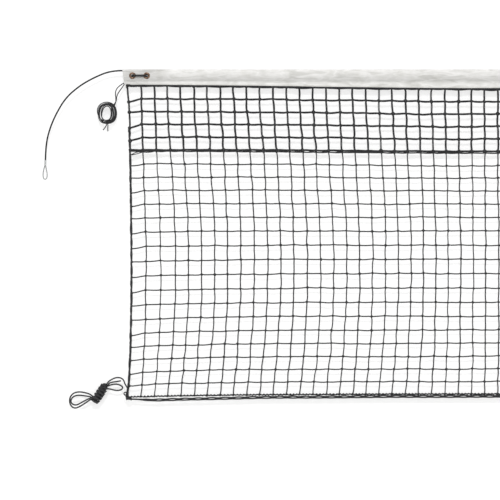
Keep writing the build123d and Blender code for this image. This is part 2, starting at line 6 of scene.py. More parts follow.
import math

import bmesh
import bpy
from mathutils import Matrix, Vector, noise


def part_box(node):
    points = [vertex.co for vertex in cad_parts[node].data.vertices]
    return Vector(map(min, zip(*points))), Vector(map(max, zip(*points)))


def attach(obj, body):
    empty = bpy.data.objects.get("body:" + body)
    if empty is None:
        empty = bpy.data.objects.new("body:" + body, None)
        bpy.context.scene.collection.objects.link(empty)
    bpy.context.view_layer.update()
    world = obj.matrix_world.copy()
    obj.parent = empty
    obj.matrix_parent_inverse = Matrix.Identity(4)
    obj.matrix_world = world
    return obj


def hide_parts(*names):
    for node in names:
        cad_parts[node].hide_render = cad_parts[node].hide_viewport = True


bl_info = {
    "name": "Tennis Net",
    "version": (1, 0, 0),
    "blender": (4, 5, 0),
    "location": "View3D > Sidebar > Tennis Net",
    "description": "Builds the netting, headband, cable and tie cords of a tennis net",
    "category": "Object",
}

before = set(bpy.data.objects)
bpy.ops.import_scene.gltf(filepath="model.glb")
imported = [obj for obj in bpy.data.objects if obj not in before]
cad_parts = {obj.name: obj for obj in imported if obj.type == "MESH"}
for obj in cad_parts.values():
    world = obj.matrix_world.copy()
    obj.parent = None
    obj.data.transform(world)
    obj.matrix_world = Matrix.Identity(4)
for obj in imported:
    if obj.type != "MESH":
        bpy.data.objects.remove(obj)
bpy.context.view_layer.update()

MM = 0.001

# ---------------------------------------------------------------- places read from the frame
BAND_LOW, BAND_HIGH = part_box("headband")
NET_LOW, NET_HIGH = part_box("single_netting")
DOUBLE_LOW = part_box("double_netting")[0]
ROPE_LOW, ROPE_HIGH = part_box("bottom_rope")
SIDE_LOW, SIDE_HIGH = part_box("side_rope_left")
HEAD_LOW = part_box("head_rope")[0]
JOIN_LOW, JOIN_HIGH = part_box("joining_cord")
TWINE = 2.8 * MM
HALF = NET_HIGH[0] - TWINE / 2
COLUMNS = 296  # meshes along the net
DOUBLE_ROWS = 5
SINGLE_ROWS = 18
PITCH = 2 * HALF / COLUMNS
EYELET_INSETS = (16 * MM, 62 * MM)  # from the edge upright
EYELET_LEVEL = -16.5  # mm, of their centres below the cable's axis
TIE_STRAND_SHIFT = 1.85  # mm, half the distance between the two tie strands
SINGLE_THICKER = 1.55  # the twine is drawn thicker than its setting, so that it shows
DOUBLE_THICKER = 1.3
FLOOR_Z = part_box("lower_tie_hank_left")[0][2] - 0.0008


# ---------------------------------------------------------------- how the net hangs
LEAN = 26.0 * MM  # drawn towards the middle, at half height near each end
LEAN_AT_EDGE = 0.3  # of it, at the outermost upright
LEAN_GAIN = 0.25  # and more of it at each upright further in
LEAN_FULL = 16.0  # columns from the end with the whole lean
LEAN_GONE = 31.0  # columns from the end where it is gone
LEAN_POWER = 1.3
MOUTH_SAG = 2.0 * MM  # the tunnel's floor below the cable, at its mouths
MOUTH_REACH = 35.0 * MM
EDGE_LEAN = 6.0 * MM  # more at the outermost uprights, almost from corner to corner
EDGE_SOON = 0.045  # share of the height in which it comes
HEM_SAG = 11.0 * MM
SAG_COLUMNS = 27.0
END_DROP = 14.0 * MM
END_COLUMNS = 8.0
END_DROP_TURN = 0.74
NET_TOP = HEAD_LOW[2]
NET_FOOT = NET_LOW[2]


def smoothstep(value):
    value = min(max(value, 0.0), 1.0)
    return value * value * (3 - 2 * value)


def hem_sag(x):
    """How far the hem hangs below its ends."""
    columns = (HALF - abs(x)) / PITCH
    return HEM_SAG * smoothstep(columns / SAG_COLUMNS)


def foot_drop(x):
    """How far the net's foot hangs below its place near each end."""
    columns = max((HALF - abs(x)) / PITCH, 0.0)
    return END_DROP * math.sin(math.pi * END_DROP_TURN) * math.exp(-columns / END_COLUMNS)


def edge_lean(z):
    """How far the outermost upright and the side rope are drawn in."""
    depth = min(max((NET_TOP - z) / (NET_TOP - NET_FOOT), 0.0), 1.0)
    held = (1 - math.exp(-depth / EDGE_SOON)) * (1 - math.exp(-(1 - depth) / EDGE_SOON))
    return LEAN * LEAN_AT_EDGE * math.sin(math.pi * depth**LEAN_POWER) + EDGE_LEAN * held


# ---------------------------------------------------------------- small helpers
def srgb(code):
    """A hex colour as linear red, green, blue and alpha."""
    parts = [int(code[i : i + 2], 16) / 255 for i in (1, 3, 5)]
    return tuple(p / 12.92 if p <= 0.04045 else ((p + 0.055) / 1.055) ** 2.4 for p in parts) + (1.0,)


def add(tree, kind, inputs=None, **settings):
    """Adds a node; inputs maps a socket's name or number to a value or to a socket to link."""
    node = tree.nodes.new(kind)
    for key, value in settings.items():
        setattr(node, key, value)
    for key, value in (inputs or {}).items():
        socket = node.inputs[key]
        if isinstance(value, bpy.types.NodeSocket):
            tree.links.new(value, socket)
        else:
            socket.default_value = value
    return node


def maths(tree, operation, *values):
    """The result of one Math node."""
    return add(tree, "ShaderNodeMath", dict(enumerate(values)), operation=operation).outputs[0]


def vector(tree, operation, *values):
    """The result of one Vector Math node."""
    node = add(tree, "ShaderNodeVectorMath", dict(enumerate(values)), operation=operation)
    return node.outputs["Value" if operation in ("LENGTH", "DOT_PRODUCT") else "Vector"]


def scaled(tree, value, factor):
    """A vector times a number."""
    return add(tree, "ShaderNodeVectorMath", {0: value, "Scale": factor}, operation="SCALE").outputs[0]


def group(name, inputs):
    """An empty geometry tree with named inputs: (name, kind, default)."""
    tree = bpy.data.node_groups.new(name, "GeometryNodeTree")
    tree.interface.new_socket("Geometry", in_out="INPUT", socket_type="NodeSocketGeometry")
    for label, kind, default in inputs:
        socket = tree.interface.new_socket(label, in_out="INPUT", socket_type="NodeSocket" + kind)
        if default is not None:
            socket.default_value = default
    tree.interface.new_socket("Geometry", in_out="OUTPUT", socket_type="NodeSocketGeometry")
    return tree, add(tree, "NodeGroupInput").outputs, add(tree, "NodeGroupOutput")


def finish_tree(tree, geometry, finish, out):
    """Ends a geometry tree in Realize Instances and Set Material."""
    smooth = add(tree, "GeometryNodeSetShadeSmooth", {"Geometry": geometry})
    real = add(tree, "GeometryNodeRealizeInstances", {"Geometry": smooth.outputs[0]})
    done = add(tree, "GeometryNodeSetMaterial", {"Geometry": real.outputs[0], "Material": finish})
    tree.links.new(done.outputs[0], out.inputs[0])
    return tree


def mesh_object(name, mesh):
    """Links a mesh as an object at the origin."""
    item = bpy.data.objects.new(name, mesh)
    bpy.context.scene.collection.objects.link(item)
    return item


def grown(name, tree, values, mesh=None):
    """Runs a geometry tree over a mesh and keeps the result as a plain mesh."""
    item = mesh_object(name, mesh or bpy.data.meshes.new(name))
    modifier = item.modifiers.new(tree.name, "NODES")
    modifier.node_group = tree
    for socket in tree.interface.items_tree:
        if socket.item_type == "SOCKET" and socket.in_out == "INPUT" and socket.name in values:
            modifier[socket.identifier] = values[socket.name]
    graph = bpy.context.evaluated_depsgraph_get()
    result = bpy.data.meshes.new_from_object(
        item.evaluated_get(graph), preserve_all_data_layers=True, depsgraph=graph
    )
    item.modifiers.clear()
    item.data = result
    result.name = name
    return item


def place(piece, body, slot, *nodes):
    """Says which body a piece rides on and hides the CAD nodes that it stands for; slot is not used."""
    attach(piece, body)
    if nodes:
        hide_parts(*nodes)
    return piece


def drift(x, y=0.0, z=0.0):
    """Smooth noise from about -1 to 1."""
    return noise.noise(Vector((x, y, z)))


# ---------------------------------------------------------------- materials
def new_material(name):
    """A material with its tree, its Principled shader and an Object coordinate."""
    made = bpy.data.materials.new(name)
    made.use_nodes = True
    tree = made.node_tree
    shader = tree.nodes["Principled BSDF"]
    coordinate = add(tree, "ShaderNodeTexCoord").outputs["Object"]
    return made, tree, shader, coordinate


def ramp(tree, factor, stops):
    """A Color Ramp between (place, hex colour) stops."""
    node = add(tree, "ShaderNodeValToRGB", {"Fac": factor})
    while len(node.color_ramp.elements) < len(stops):
        node.color_ramp.elements.new(0.5)
    for element, (spot, code) in zip(node.color_ramp.elements, stops):
        element.position = spot
        element.color = srgb(code)
    return node.outputs["Color"]


def braided(name, dark, light, pick, rough, depth):
    """Braided cord: picks slant both ways round it, so that the light catches short ribs; their crests are
    also painted lighter and the grooves darker, as painted highlight and shade.
    """
    made, tree, shader, coordinate = new_material(name)
    along = add(tree, "ShaderNodeAttribute", attribute_name="along").outputs["Fac"]
    around = add(tree, "ShaderNodeAttribute", attribute_name="around").outputs["Vector"]
    parts = add(tree, "ShaderNodeSeparateXYZ", {0: around}).outputs
    angle = maths(tree, "ARCTAN2", parts["Y"], parts["X"])
    turns = maths(tree, "MULTIPLY", along, 2 * math.pi / pick)
    twice = maths(tree, "MULTIPLY", angle, 2.0)
    one = maths(tree, "SINE", maths(tree, "ADD", turns, twice))
    other = maths(tree, "SINE", maths(tree, "SUBTRACT", turns, twice))
    ribs = maths(tree, "MAXIMUM", one, other)
    fuzz = add(tree, "ShaderNodeTexNoise", {"Vector": coordinate, "Scale": 900.0, "Detail": 2.0})
    height = maths(tree, "MULTIPLY_ADD", fuzz.outputs["Fac"], 0.6, ribs)
    bump = add(tree, "ShaderNodeBump", {"Height": height, "Strength": depth, "Distance": 0.0004})
    tree.links.new(bump.outputs[0], shader.inputs["Normal"])
    wear = add(tree, "ShaderNodeTexNoise", {"Vector": coordinate, "Scale": 35.0, "Detail": 4.0})
    # painted highlight on the rib crests and painted shade between them, over random wear
    rib_highlight_and_wear = maths(tree, "MULTIPLY_ADD", ribs, 0.22, wear.outputs["Fac"])
    tree.links.new(ramp(tree, rib_highlight_and_wear, [(0.3, dark), (0.95, light)]), shader.inputs["Base Color"])
    rough_map = maths(tree, "MULTIPLY_ADD", wear.outputs["Fac"], 0.25, rough - 0.12)
    tree.links.new(rough_map, shader.inputs["Roughness"])
    return made


def headband_cloth():
    """Vinyl-dressed white canvas tape: fine plain weave, with painted shade down its height and in its
    creases, and darker at its flat ends.
    """
    made, tree, shader, coordinate = new_material("white canvas tape")
    # real threads are 0.5 mm apart; drawn at 1.1 mm so that they show
    thread = 2 * math.pi / (1.1 * MM)
    parts = add(tree, "ShaderNodeSeparateXYZ", {0: coordinate}).outputs
    warp = maths(tree, "SINE", maths(tree, "MULTIPLY", parts["X"], thread))
    weft = maths(tree, "SINE", maths(tree, "MULTIPLY", parts["Z"], thread))
    weave = maths(tree, "MULTIPLY", warp, weft)
    slub = add(tree, "ShaderNodeTexNoise", {"Vector": coordinate, "Scale": 260.0, "Detail": 3.0})
    height = maths(tree, "MULTIPLY_ADD", slub.outputs["Fac"], 0.8, weave)
    bump = add(tree, "ShaderNodeBump", {"Height": height, "Strength": 0.35, "Distance": 0.0003})
    tree.links.new(bump.outputs[0], shader.inputs["Normal"])
    soil = add(tree, "ShaderNodeTexNoise", {"Vector": coordinate, "Scale": 22.0, "Detail": 5.0})
    colour = ramp(tree, soil.outputs["Fac"], [(0.25, "#D3D2CE"), (0.5, "#E0DFDD"), (0.75, "#E9E8E6")])
    # painted shade by height: darkest at the seam under the sleeve's bulge, lighter up to the top, which
    # faces the light, and lighter again on the hem
    height_range = {"Value": parts["Z"], "From Min": BAND_BOTTOM - 8 * MM, "From Max": BAND_TOP}
    level = add(tree, "ShaderNodeMapRange", height_range).outputs[0]
    shade = ramp(
        tree, level,
        [
            (0.0, "#F9F9F9"), (0.26, "#FBFBFB"), (0.36, "#E0E0E0"),
            (0.55, "#EAEAEA"), (0.78, "#F8F8F8"), (1.0, "#FFFFFF"),
        ],
    )
    # painted shade of long shallow creases, laid over the whole band
    stretched = vector(tree, "MULTIPLY", coordinate, (1.0, 1.0, 5.0))
    crease = {"Vector": stretched, "Scale": 13.0, "Detail": 3.0, "Distortion": 0.6}
    crease = add(tree, "ShaderNodeTexNoise", crease)
    crease = ramp(tree, crease.outputs["Fac"], [(0.34, "#E2E2E0"), (0.52, "#FFFFFF"), (0.62, "#F2F2F1")])
    flat = maths(tree, "ABSOLUTE", parts["X"])
    flat_range = {"From Min": HALF - 150 * MM, "From Max": HALF - 70 * MM, "To Min": 1.0, "To Max": 0.86}
    flat = add(tree, "ShaderNodeMapRange", {"Value": flat, **flat_range}).outputs[0]
    colour = vector(tree, "MULTIPLY", vector(tree, "MULTIPLY", colour, shade), crease)
    tree.links.new(scaled(tree, colour, flat), shader.inputs["Base Color"])
    tree.links.new(maths(tree, "MULTIPLY_ADD", slub.outputs["Fac"], 0.2, 0.62), shader.inputs["Roughness"])
    shader.inputs["Sheen Weight"].default_value = 0.15
    return made


def thread_finish():
    """White polyester sewing thread."""
    made, tree, shader, coordinate = new_material("white polyester thread")
    ply = add(tree, "ShaderNodeTexNoise", {"Vector": coordinate, "Scale": 1500.0})
    colour = ramp(tree, ply.outputs["Fac"], [(0.3, "#C2C4BE"), (0.7, "#DADBD6")])
    tree.links.new(colour, shader.inputs["Base Color"])
    shader.inputs["Roughness"].default_value = 0.5
    return made


def worn_metal(name, dark, mid, light, rough, scale, metallic=1.0):
    """Metal with a duller skin in patches and fine scratches."""
    made, tree, shader, coordinate = new_material(name)
    patina = add(tree, "ShaderNodeTexNoise", {"Vector": coordinate, "Scale": scale, "Detail": 6.0})
    colour = ramp(tree, patina.outputs["Fac"], [(0.3, dark), (0.5, mid), (0.72, light)])
    tree.links.new(colour, shader.inputs["Base Color"])
    rough_map = maths(tree, "MULTIPLY_ADD", patina.outputs["Fac"], 0.3, rough - 0.15)
    tree.links.new(rough_map, shader.inputs["Roughness"])
    scratch = add(tree, "ShaderNodeTexNoise", {"Vector": coordinate, "Scale": scale * 14, "Detail": 3.0})
    marks = scratch.outputs["Fac"]
    bump = add(tree, "ShaderNodeBump", {"Height": marks, "Strength": 0.25, "Distance": 0.0002})
    tree.links.new(bump.outputs[0], shader.inputs["Normal"])
    shader.inputs["Metallic"].default_value = metallic
    return made


def stranded_steel():
    """Galvanised wire rope: six strands laid round it, with painted shade in the grooves between them."""
    made, tree, shader, coordinate = new_material("galvanised wire rope")
    along = add(tree, "ShaderNodeAttribute", attribute_name="along").outputs["Fac"]
    around = add(tree, "ShaderNodeAttribute", attribute_name="around").outputs["Vector"]
    parts = add(tree, "ShaderNodeSeparateXYZ", {0: around}).outputs
    angle = maths(tree, "MULTIPLY", maths(tree, "ARCTAN2", parts["Y"], parts["X"]), 6.0)
    lay = maths(tree, "MULTIPLY", along, 2 * math.pi * 6 / (24 * MM))
    strand = maths(tree, "SINE", maths(tree, "ADD", lay, angle))
    bump = add(tree, "ShaderNodeBump", {"Height": strand, "Strength": 0.9, "Distance": 0.0005})
    tree.links.new(bump.outputs[0], shader.inputs["Normal"])
    # painted highlight on the strands' crests and painted shade in the grooves between them
    tree.links.new(ramp(tree, strand, [(0.0, "#8C8F8F"), (0.8, "#C9CBCB")]), shader.inputs["Base Color"])
    zinc = add(tree, "ShaderNodeTexNoise", {"Vector": coordinate, "Scale": 300.0})
    tree.links.new(maths(tree, "MULTIPLY_ADD", zinc.outputs["Fac"], 0.25, 0.3), shader.inputs["Roughness"])
    shader.inputs["Metallic"].default_value = 0.85
    return made


def vinyl():
    """Extruded black vinyl coating, smooth with slight scuffs."""
    made, tree, shader, coordinate = new_material("black vinyl coating")
    scuff = add(tree, "ShaderNodeTexNoise", {"Vector": coordinate, "Scale": 120.0, "Detail": 4.0})
    colour = ramp(tree, scuff.outputs["Fac"], [(0.35, "#0E0F11"), (0.8, "#1D1E21")])
    tree.links.new(colour, shader.inputs["Base Color"])
    shader.inputs["Specular IOR Level"].default_value = 0.3
    tree.links.new(maths(tree, "MULTIPLY_ADD", scuff.outputs["Fac"], 0.25, 0.25), shader.inputs["Roughness"])
    marks = scuff.outputs["Fac"]
    bump = add(tree, "ShaderNodeBump", {"Height": marks, "Strength": 0.15, "Distance": 0.0002})
    tree.links.new(bump.outputs[0], shader.inputs["Normal"])
    return made


FINISHES = {}


def finish_named(name):
    """Makes each finish once, when it is first asked for."""
    recipes = {
        "cloth": headband_cloth,
        "thread": thread_finish,
        "twine": lambda: braided("black polyethylene twine", "#111113", "#2E2E31", 3.2 * MM, 0.5, 0.9),
        "cord": lambda: braided("black braided polyester cord", "#0F0F11", "#29292C", 4.5 * MM, 0.6, 1.0),
        "brass": lambda: worn_metal("aged brass", "#40312A", "#6E5748", "#9A8270", 0.42, 160.0),
        "aluminium": lambda: worn_metal(
            "pressed aluminium", "#A9ABAB", "#C6C8C8", "#DADBDB", 0.38, 220.0, 0.9
        ),
        "wire": stranded_steel,
        "vinyl": vinyl,
    }
    if name not in FINISHES:
        FINISHES[name] = recipes[name]()
    return FINISHES[name]


# ---------------------------------------------------------------- geometry trees
def sweep_nodes(tree, curve, radius, sides):
    """Sweeps a round section along curves, keeping how far along and which way round each point is."""
    length = add(tree, "GeometryNodeSplineParameter").outputs["Length"]
    marked = add(
        tree, "GeometryNodeStoreNamedAttribute", {"Geometry": curve, "Name": "along", "Value": length},
        data_type="FLOAT", domain="POINT",
    )
    ring = add(tree, "GeometryNodeCurvePrimitiveCircle", {"Resolution": sides, "Radius": 1.0})
    spot = add(tree, "GeometryNodeInputPosition").outputs[0]
    ring = add(
        tree,
        "GeometryNodeStoreNamedAttribute",
        {"Geometry": ring.outputs[0], "Name": "around", "Value": spot},
        data_type="FLOAT_VECTOR", domain="POINT",
    )
    swept = add(
        tree,
        "GeometryNodeCurveToMesh",
        {"Curve": marked.outputs[0], "Profile Curve": ring.outputs[0], "Scale": radius, "Fill Caps": True},
    )
    return swept.outputs[0]


def cord_tree():
    """Sweeps a cord along each chain of edges of a mesh."""
    tree, given, out = group(
        "Cord along a path",
        [("Radius", "Float", 0.002), ("Sides", "Int", 10), ("Material", "Material", None)],
    )
    curve = add(tree, "GeometryNodeMeshToCurve", {"Mesh": given["Geometry"]})
    body = sweep_nodes(tree, curve.outputs[0], given["Radius"], given["Sides"])
    return finish_tree(tree, body, given["Material"], out)


def knot_place(tree, given, column, row):
    """Where a knot lies: its even place, then how the net hangs, then its own small error."""
    across = maths(tree, "ADD", column, given["First Column"])
    x = maths(tree, "MULTIPLY_ADD", across, given["Pitch"], given["Left"])
    z = maths(tree, "SUBTRACT", given["Top"], maths(tree, "MULTIPLY", row, given["Row Height"]))
    even = add(tree, "ShaderNodeCombineXYZ", {0: x, 1: given["Depth"], 2: z}).outputs[0]
    from_left = across
    from_right = maths(tree, "SUBTRACT", given["All Columns"], across)
    from_end = maths(tree, "MINIMUM", from_left, from_right)
    side = maths(tree, "SIGN", maths(tree, "SUBTRACT", from_right, from_left))
    share = maths(tree, "DIVIDE", row, given["Rows"])

    # the meshes near each end are drawn towards the net's middle, most at half height
    depth = maths(tree, "SUBTRACT", given["Net Top"], z)
    depth = maths(tree, "DIVIDE", depth, maths(tree, "SUBTRACT", given["Net Top"], given["Net Foot"]))
    depth = maths(tree, "MINIMUM", maths(tree, "MAXIMUM", depth, 0.0), 1.0)
    bowed = maths(tree, "SINE", maths(tree, "MULTIPLY", maths(tree, "POWER", depth, LEAN_POWER), math.pi))
    grip = maths(tree, "MINIMUM", maths(tree, "MULTIPLY_ADD", from_end, LEAN_GAIN, LEAN_AT_EDGE), 1.0)
    fade = add(
        tree,
        "ShaderNodeMapRange",
        {"Value": from_end, "From Min": LEAN_FULL, "From Max": LEAN_GONE, "To Min": 1.0, "To Max": 0.0},
        interpolation_type="SMOOTHSTEP",
    ).outputs[0]
    lean = maths(tree, "MULTIPLY", maths(tree, "MULTIPLY", grip, fade), maths(tree, "MULTIPLY", bowed, side))
    lean = maths(tree, "MULTIPLY", lean, given["Lean"])
    soon = maths(tree, "EXPONENT", maths(tree, "MULTIPLY", depth, -1 / EDGE_SOON))
    soon = maths(tree, "SUBTRACT", 1.0, soon)
    late = maths(tree, "MULTIPLY_ADD", depth, 1 / EDGE_SOON, -1 / EDGE_SOON)
    late = maths(tree, "SUBTRACT", 1.0, maths(tree, "EXPONENT", late))
    outer = maths(tree, "EXPONENT", maths(tree, "MULTIPLY", from_end, -0.7))
    outer = maths(tree, "MULTIPLY", outer, maths(tree, "MULTIPLY", soon, late))
    outer = maths(tree, "MULTIPLY", maths(tree, "MULTIPLY", outer, side), EDGE_LEAN)
    lean = maths(tree, "ADD", lean, outer)

    # the hem sags away from its ends, and the rows under it follow less and less
    hang = add(
        tree,
        "ShaderNodeMapRange",
        {"Value": from_end, "From Min": 0.0, "From Max": SAG_COLUMNS, "To Min": 0.0, "To Max": 1.0},
        interpolation_type="SMOOTHSTEP",
    ).outputs[0]
    follow = maths(tree, "SUBTRACT", given["Sag At Top"], maths(tree, "MULTIPLY", share, given["Sag Lost"]))
    hang = maths(tree, "MULTIPLY", maths(tree, "MULTIPLY", hang, follow), given["Hem Sag"])
    swell = maths(tree, "SINE", maths(tree, "MULTIPLY", share, 2 * math.pi))
    hang = maths(tree, "SUBTRACT", hang, maths(tree, "MULTIPLY", swell, given["Row Swell"]))
    near = maths(tree, "EXPONENT", maths(tree, "MULTIPLY", from_end, -1 / END_COLUMNS))
    drop = maths(tree, "SINE", maths(tree, "MULTIPLY", share, math.pi * END_DROP_TURN))
    drop = maths(tree, "MULTIPLY", maths(tree, "MULTIPLY", drop, near), given["End Drop"])
    hang = maths(tree, "ADD", hang, drop)
    settled = add(tree, "ShaderNodeCombineXYZ", {0: lean, 2: maths(tree, "MULTIPLY", hang, -1.0)}).outputs[0]

    slow = add(tree, "ShaderNodeTexNoise", {"Vector": even, "Scale": 3.1, "Detail": 1.0}).outputs["Color"]
    slow = vector(tree, "MULTIPLY_ADD", slow, (2.0, 2.0, 2.0), (-1.0, -1.0, -1.0))
    own = add(tree, "ShaderNodeCombineXYZ", {0: across, 1: row, 2: given["Seed"]}).outputs[0]
    quick = add(tree, "ShaderNodeTexWhiteNoise", {"Vector": own}, noise_dimensions="3D").outputs["Color"]
    quick = vector(tree, "MULTIPLY_ADD", quick, (2.0, 2.0, 2.0), (-1.0, -1.0, -1.0))
    # the outermost upright and the first and last line keep to their ropes
    inner = maths(tree, "MINIMUM", from_end, 1.0)
    free = maths(tree, "MINIMUM", row, maths(tree, "SUBTRACT", given["Rows"], row))
    free = maths(tree, "MINIMUM", free, 1.0)
    limits = add(tree, "ShaderNodeCombineXYZ", {0: inner, 1: 0.4, 2: free}).outputs[0]
    small = vector(tree, "MULTIPLY", scaled(tree, quick, given["Jitter"]), limits)
    wide = vector(tree, "MULTIPLY", scaled(tree, slow, given["Wander"]), limits)
    droop = maths(tree, "MULTIPLY", maths(tree, "SUBTRACT", 1.0, inner), given["Edge Droop"])
    droop = maths(tree, "MULTIPLY", droop, free)
    # the knots along the edge don't all hang alike
    uneven = maths(tree, "COSINE", maths(tree, "MULTIPLY_ADD", row, 2.0, -4.0))
    droop = maths(tree, "MULTIPLY", droop, maths(tree, "MULTIPLY_ADD", uneven, -0.5, 0.7))
    lower = add(tree, "ShaderNodeCombineXYZ", {2: maths(tree, "MULTIPLY", droop, -1.0)}).outputs[0]
    moved = vector(tree, "ADD", vector(tree, "ADD", even, settled), vector(tree, "ADD", small, wide))
    return vector(tree, "ADD", moved, lower)


def netting_strands(tree, given, upright, shift):
    """Curves for the uprights or the lines of one span, bowed between their knots."""
    if upright:
        count_x = given["Uprights"]
        count_y = maths(tree, "MULTIPLY_ADD", given["Rows"], given["Steps"], 1.0)
        size_x = maths(tree, "SUBTRACT", given["Uprights"], 1.0)
    else:
        count_x = maths(tree, "MULTIPLY_ADD", given["Columns"], given["Steps"], 1.0)
        count_y = maths(tree, "ADD", given["Rows"], 1.0)
        size_x = given["Columns"]
    grid = add(
        tree,
        "GeometryNodeMeshGrid",
        {"Size X": size_x, "Size Y": given["Rows"], "Vertices X": count_x, "Vertices Y": count_y},
    ).outputs["Mesh"]
    ends = add(tree, "GeometryNodeInputMeshEdgeVertices").outputs
    run = vector(tree, "ABSOLUTE", vector(tree, "SUBTRACT", ends["Position 1"], ends["Position 2"]))
    run = add(tree, "ShaderNodeSeparateXYZ", {0: run}).outputs
    wanted = maths(tree, "LESS_THAN", run["X" if upright else "Y"], 0.001)
    curve = add(tree, "GeometryNodeMeshToCurve", {"Mesh": grid, "Selection": wanted}).outputs[0]
    spot = add(tree, "ShaderNodeSeparateXYZ", {0: add(tree, "GeometryNodeInputPosition").outputs[0]}).outputs
    column = maths(tree, "MULTIPLY_ADD", size_x, 0.5, spot["X"])
    row = maths(tree, "SUBTRACT", maths(tree, "MULTIPLY", given["Rows"], 0.5), spot["Y"])
    nudge = 0.01
    low_column = maths(tree, "FLOOR", maths(tree, "ADD", column, nudge))
    low_row = maths(tree, "FLOOR", maths(tree, "ADD", row, nudge))
    high_column = maths(tree, "CEIL", maths(tree, "SUBTRACT", column, nudge))
    high_row = maths(tree, "CEIL", maths(tree, "SUBTRACT", row, nudge))
    start = knot_place(tree, given, low_column, low_row)
    end = knot_place(tree, given, high_column, high_row)
    if upright:
        share = maths(tree, "SUBTRACT", row, low_row)
    else:
        share = maths(tree, "SUBTRACT", column, low_column)
    spread = add(
        tree, "ShaderNodeMix", {"Factor": share, "A": start, "B": end}, data_type="VECTOR"
    )
    factor = next(s for s in spread.inputs if s.identifier == "Factor_Float")
    tree.links.new(share, factor)
    for name, value in (("A_Vector", start), ("B_Vector", end)):
        tree.links.new(value, next(s for s in spread.inputs if s.identifier == name))
    straight = next(s for s in spread.outputs if s.identifier == "Result_Vector")
    across = maths(tree, "ADD", low_column, given["First Column"])
    own = add(
        tree,
        "ShaderNodeCombineXYZ",
        {0: across, 1: low_row, 2: maths(tree, "ADD", given["Seed"], 7.3 + upright)},
    ).outputs[0]
    random = add(tree, "ShaderNodeTexWhiteNoise", {"Vector": own}, noise_dimensions="3D").outputs["Color"]
    random = add(tree, "ShaderNodeSeparateXYZ", {0: random}).outputs
    bow = maths(tree, "MULTIPLY", maths(tree, "MULTIPLY", share, maths(tree, "SUBTRACT", 1.0, share)), 4.0)
    twist = maths(tree, "SINE", maths(tree, "MULTIPLY", share, 2 * math.pi))
    size = given["Sag"]
    both = maths(tree, "MULTIPLY_ADD", random["X"], 2.0, -1.0)
    second = maths(tree, "MULTIPLY", maths(tree, "MULTIPLY_ADD", random["Y"], 2.0, -1.0), 0.35)
    wave = maths(tree, "ADD", maths(tree, "MULTIPLY", bow, both), maths(tree, "MULTIPLY", twist, second))
    wave = maths(tree, "MULTIPLY", wave, size)
    back = maths(tree, "MULTIPLY", bow, maths(tree, "SUBTRACT", random["Z"], 0.5))
    back = maths(tree, "MULTIPLY", back, size)
    apart = maths(tree, "MULTIPLY", given["Strand Gap"], shift)
    apart = maths(tree, "MULTIPLY", apart, maths(tree, "MULTIPLY_ADD", bow, 0.35, 0.65))
    if upright:
        offset = add(tree, "ShaderNodeCombineXYZ", {0: maths(tree, "ADD", wave, apart), 1: back, 2: 0.0})
    else:
        hang = maths(tree, "MULTIPLY", bow, maths(tree, "MULTIPLY_ADD", random["X"], -0.9, -0.1))
        hang = maths(tree, "ADD", hang, maths(tree, "MULTIPLY", twist, second))
        hang = maths(tree, "MULTIPLY_ADD", hang, size, apart)
        offset = add(tree, "ShaderNodeCombineXYZ", {0: 0.0, 1: back, 2: hang})
    placed = vector(tree, "ADD", straight, offset.outputs[0])
    return add(tree, "GeometryNodeSetPosition", {"Geometry": curve, "Position": placed}).outputs[0]


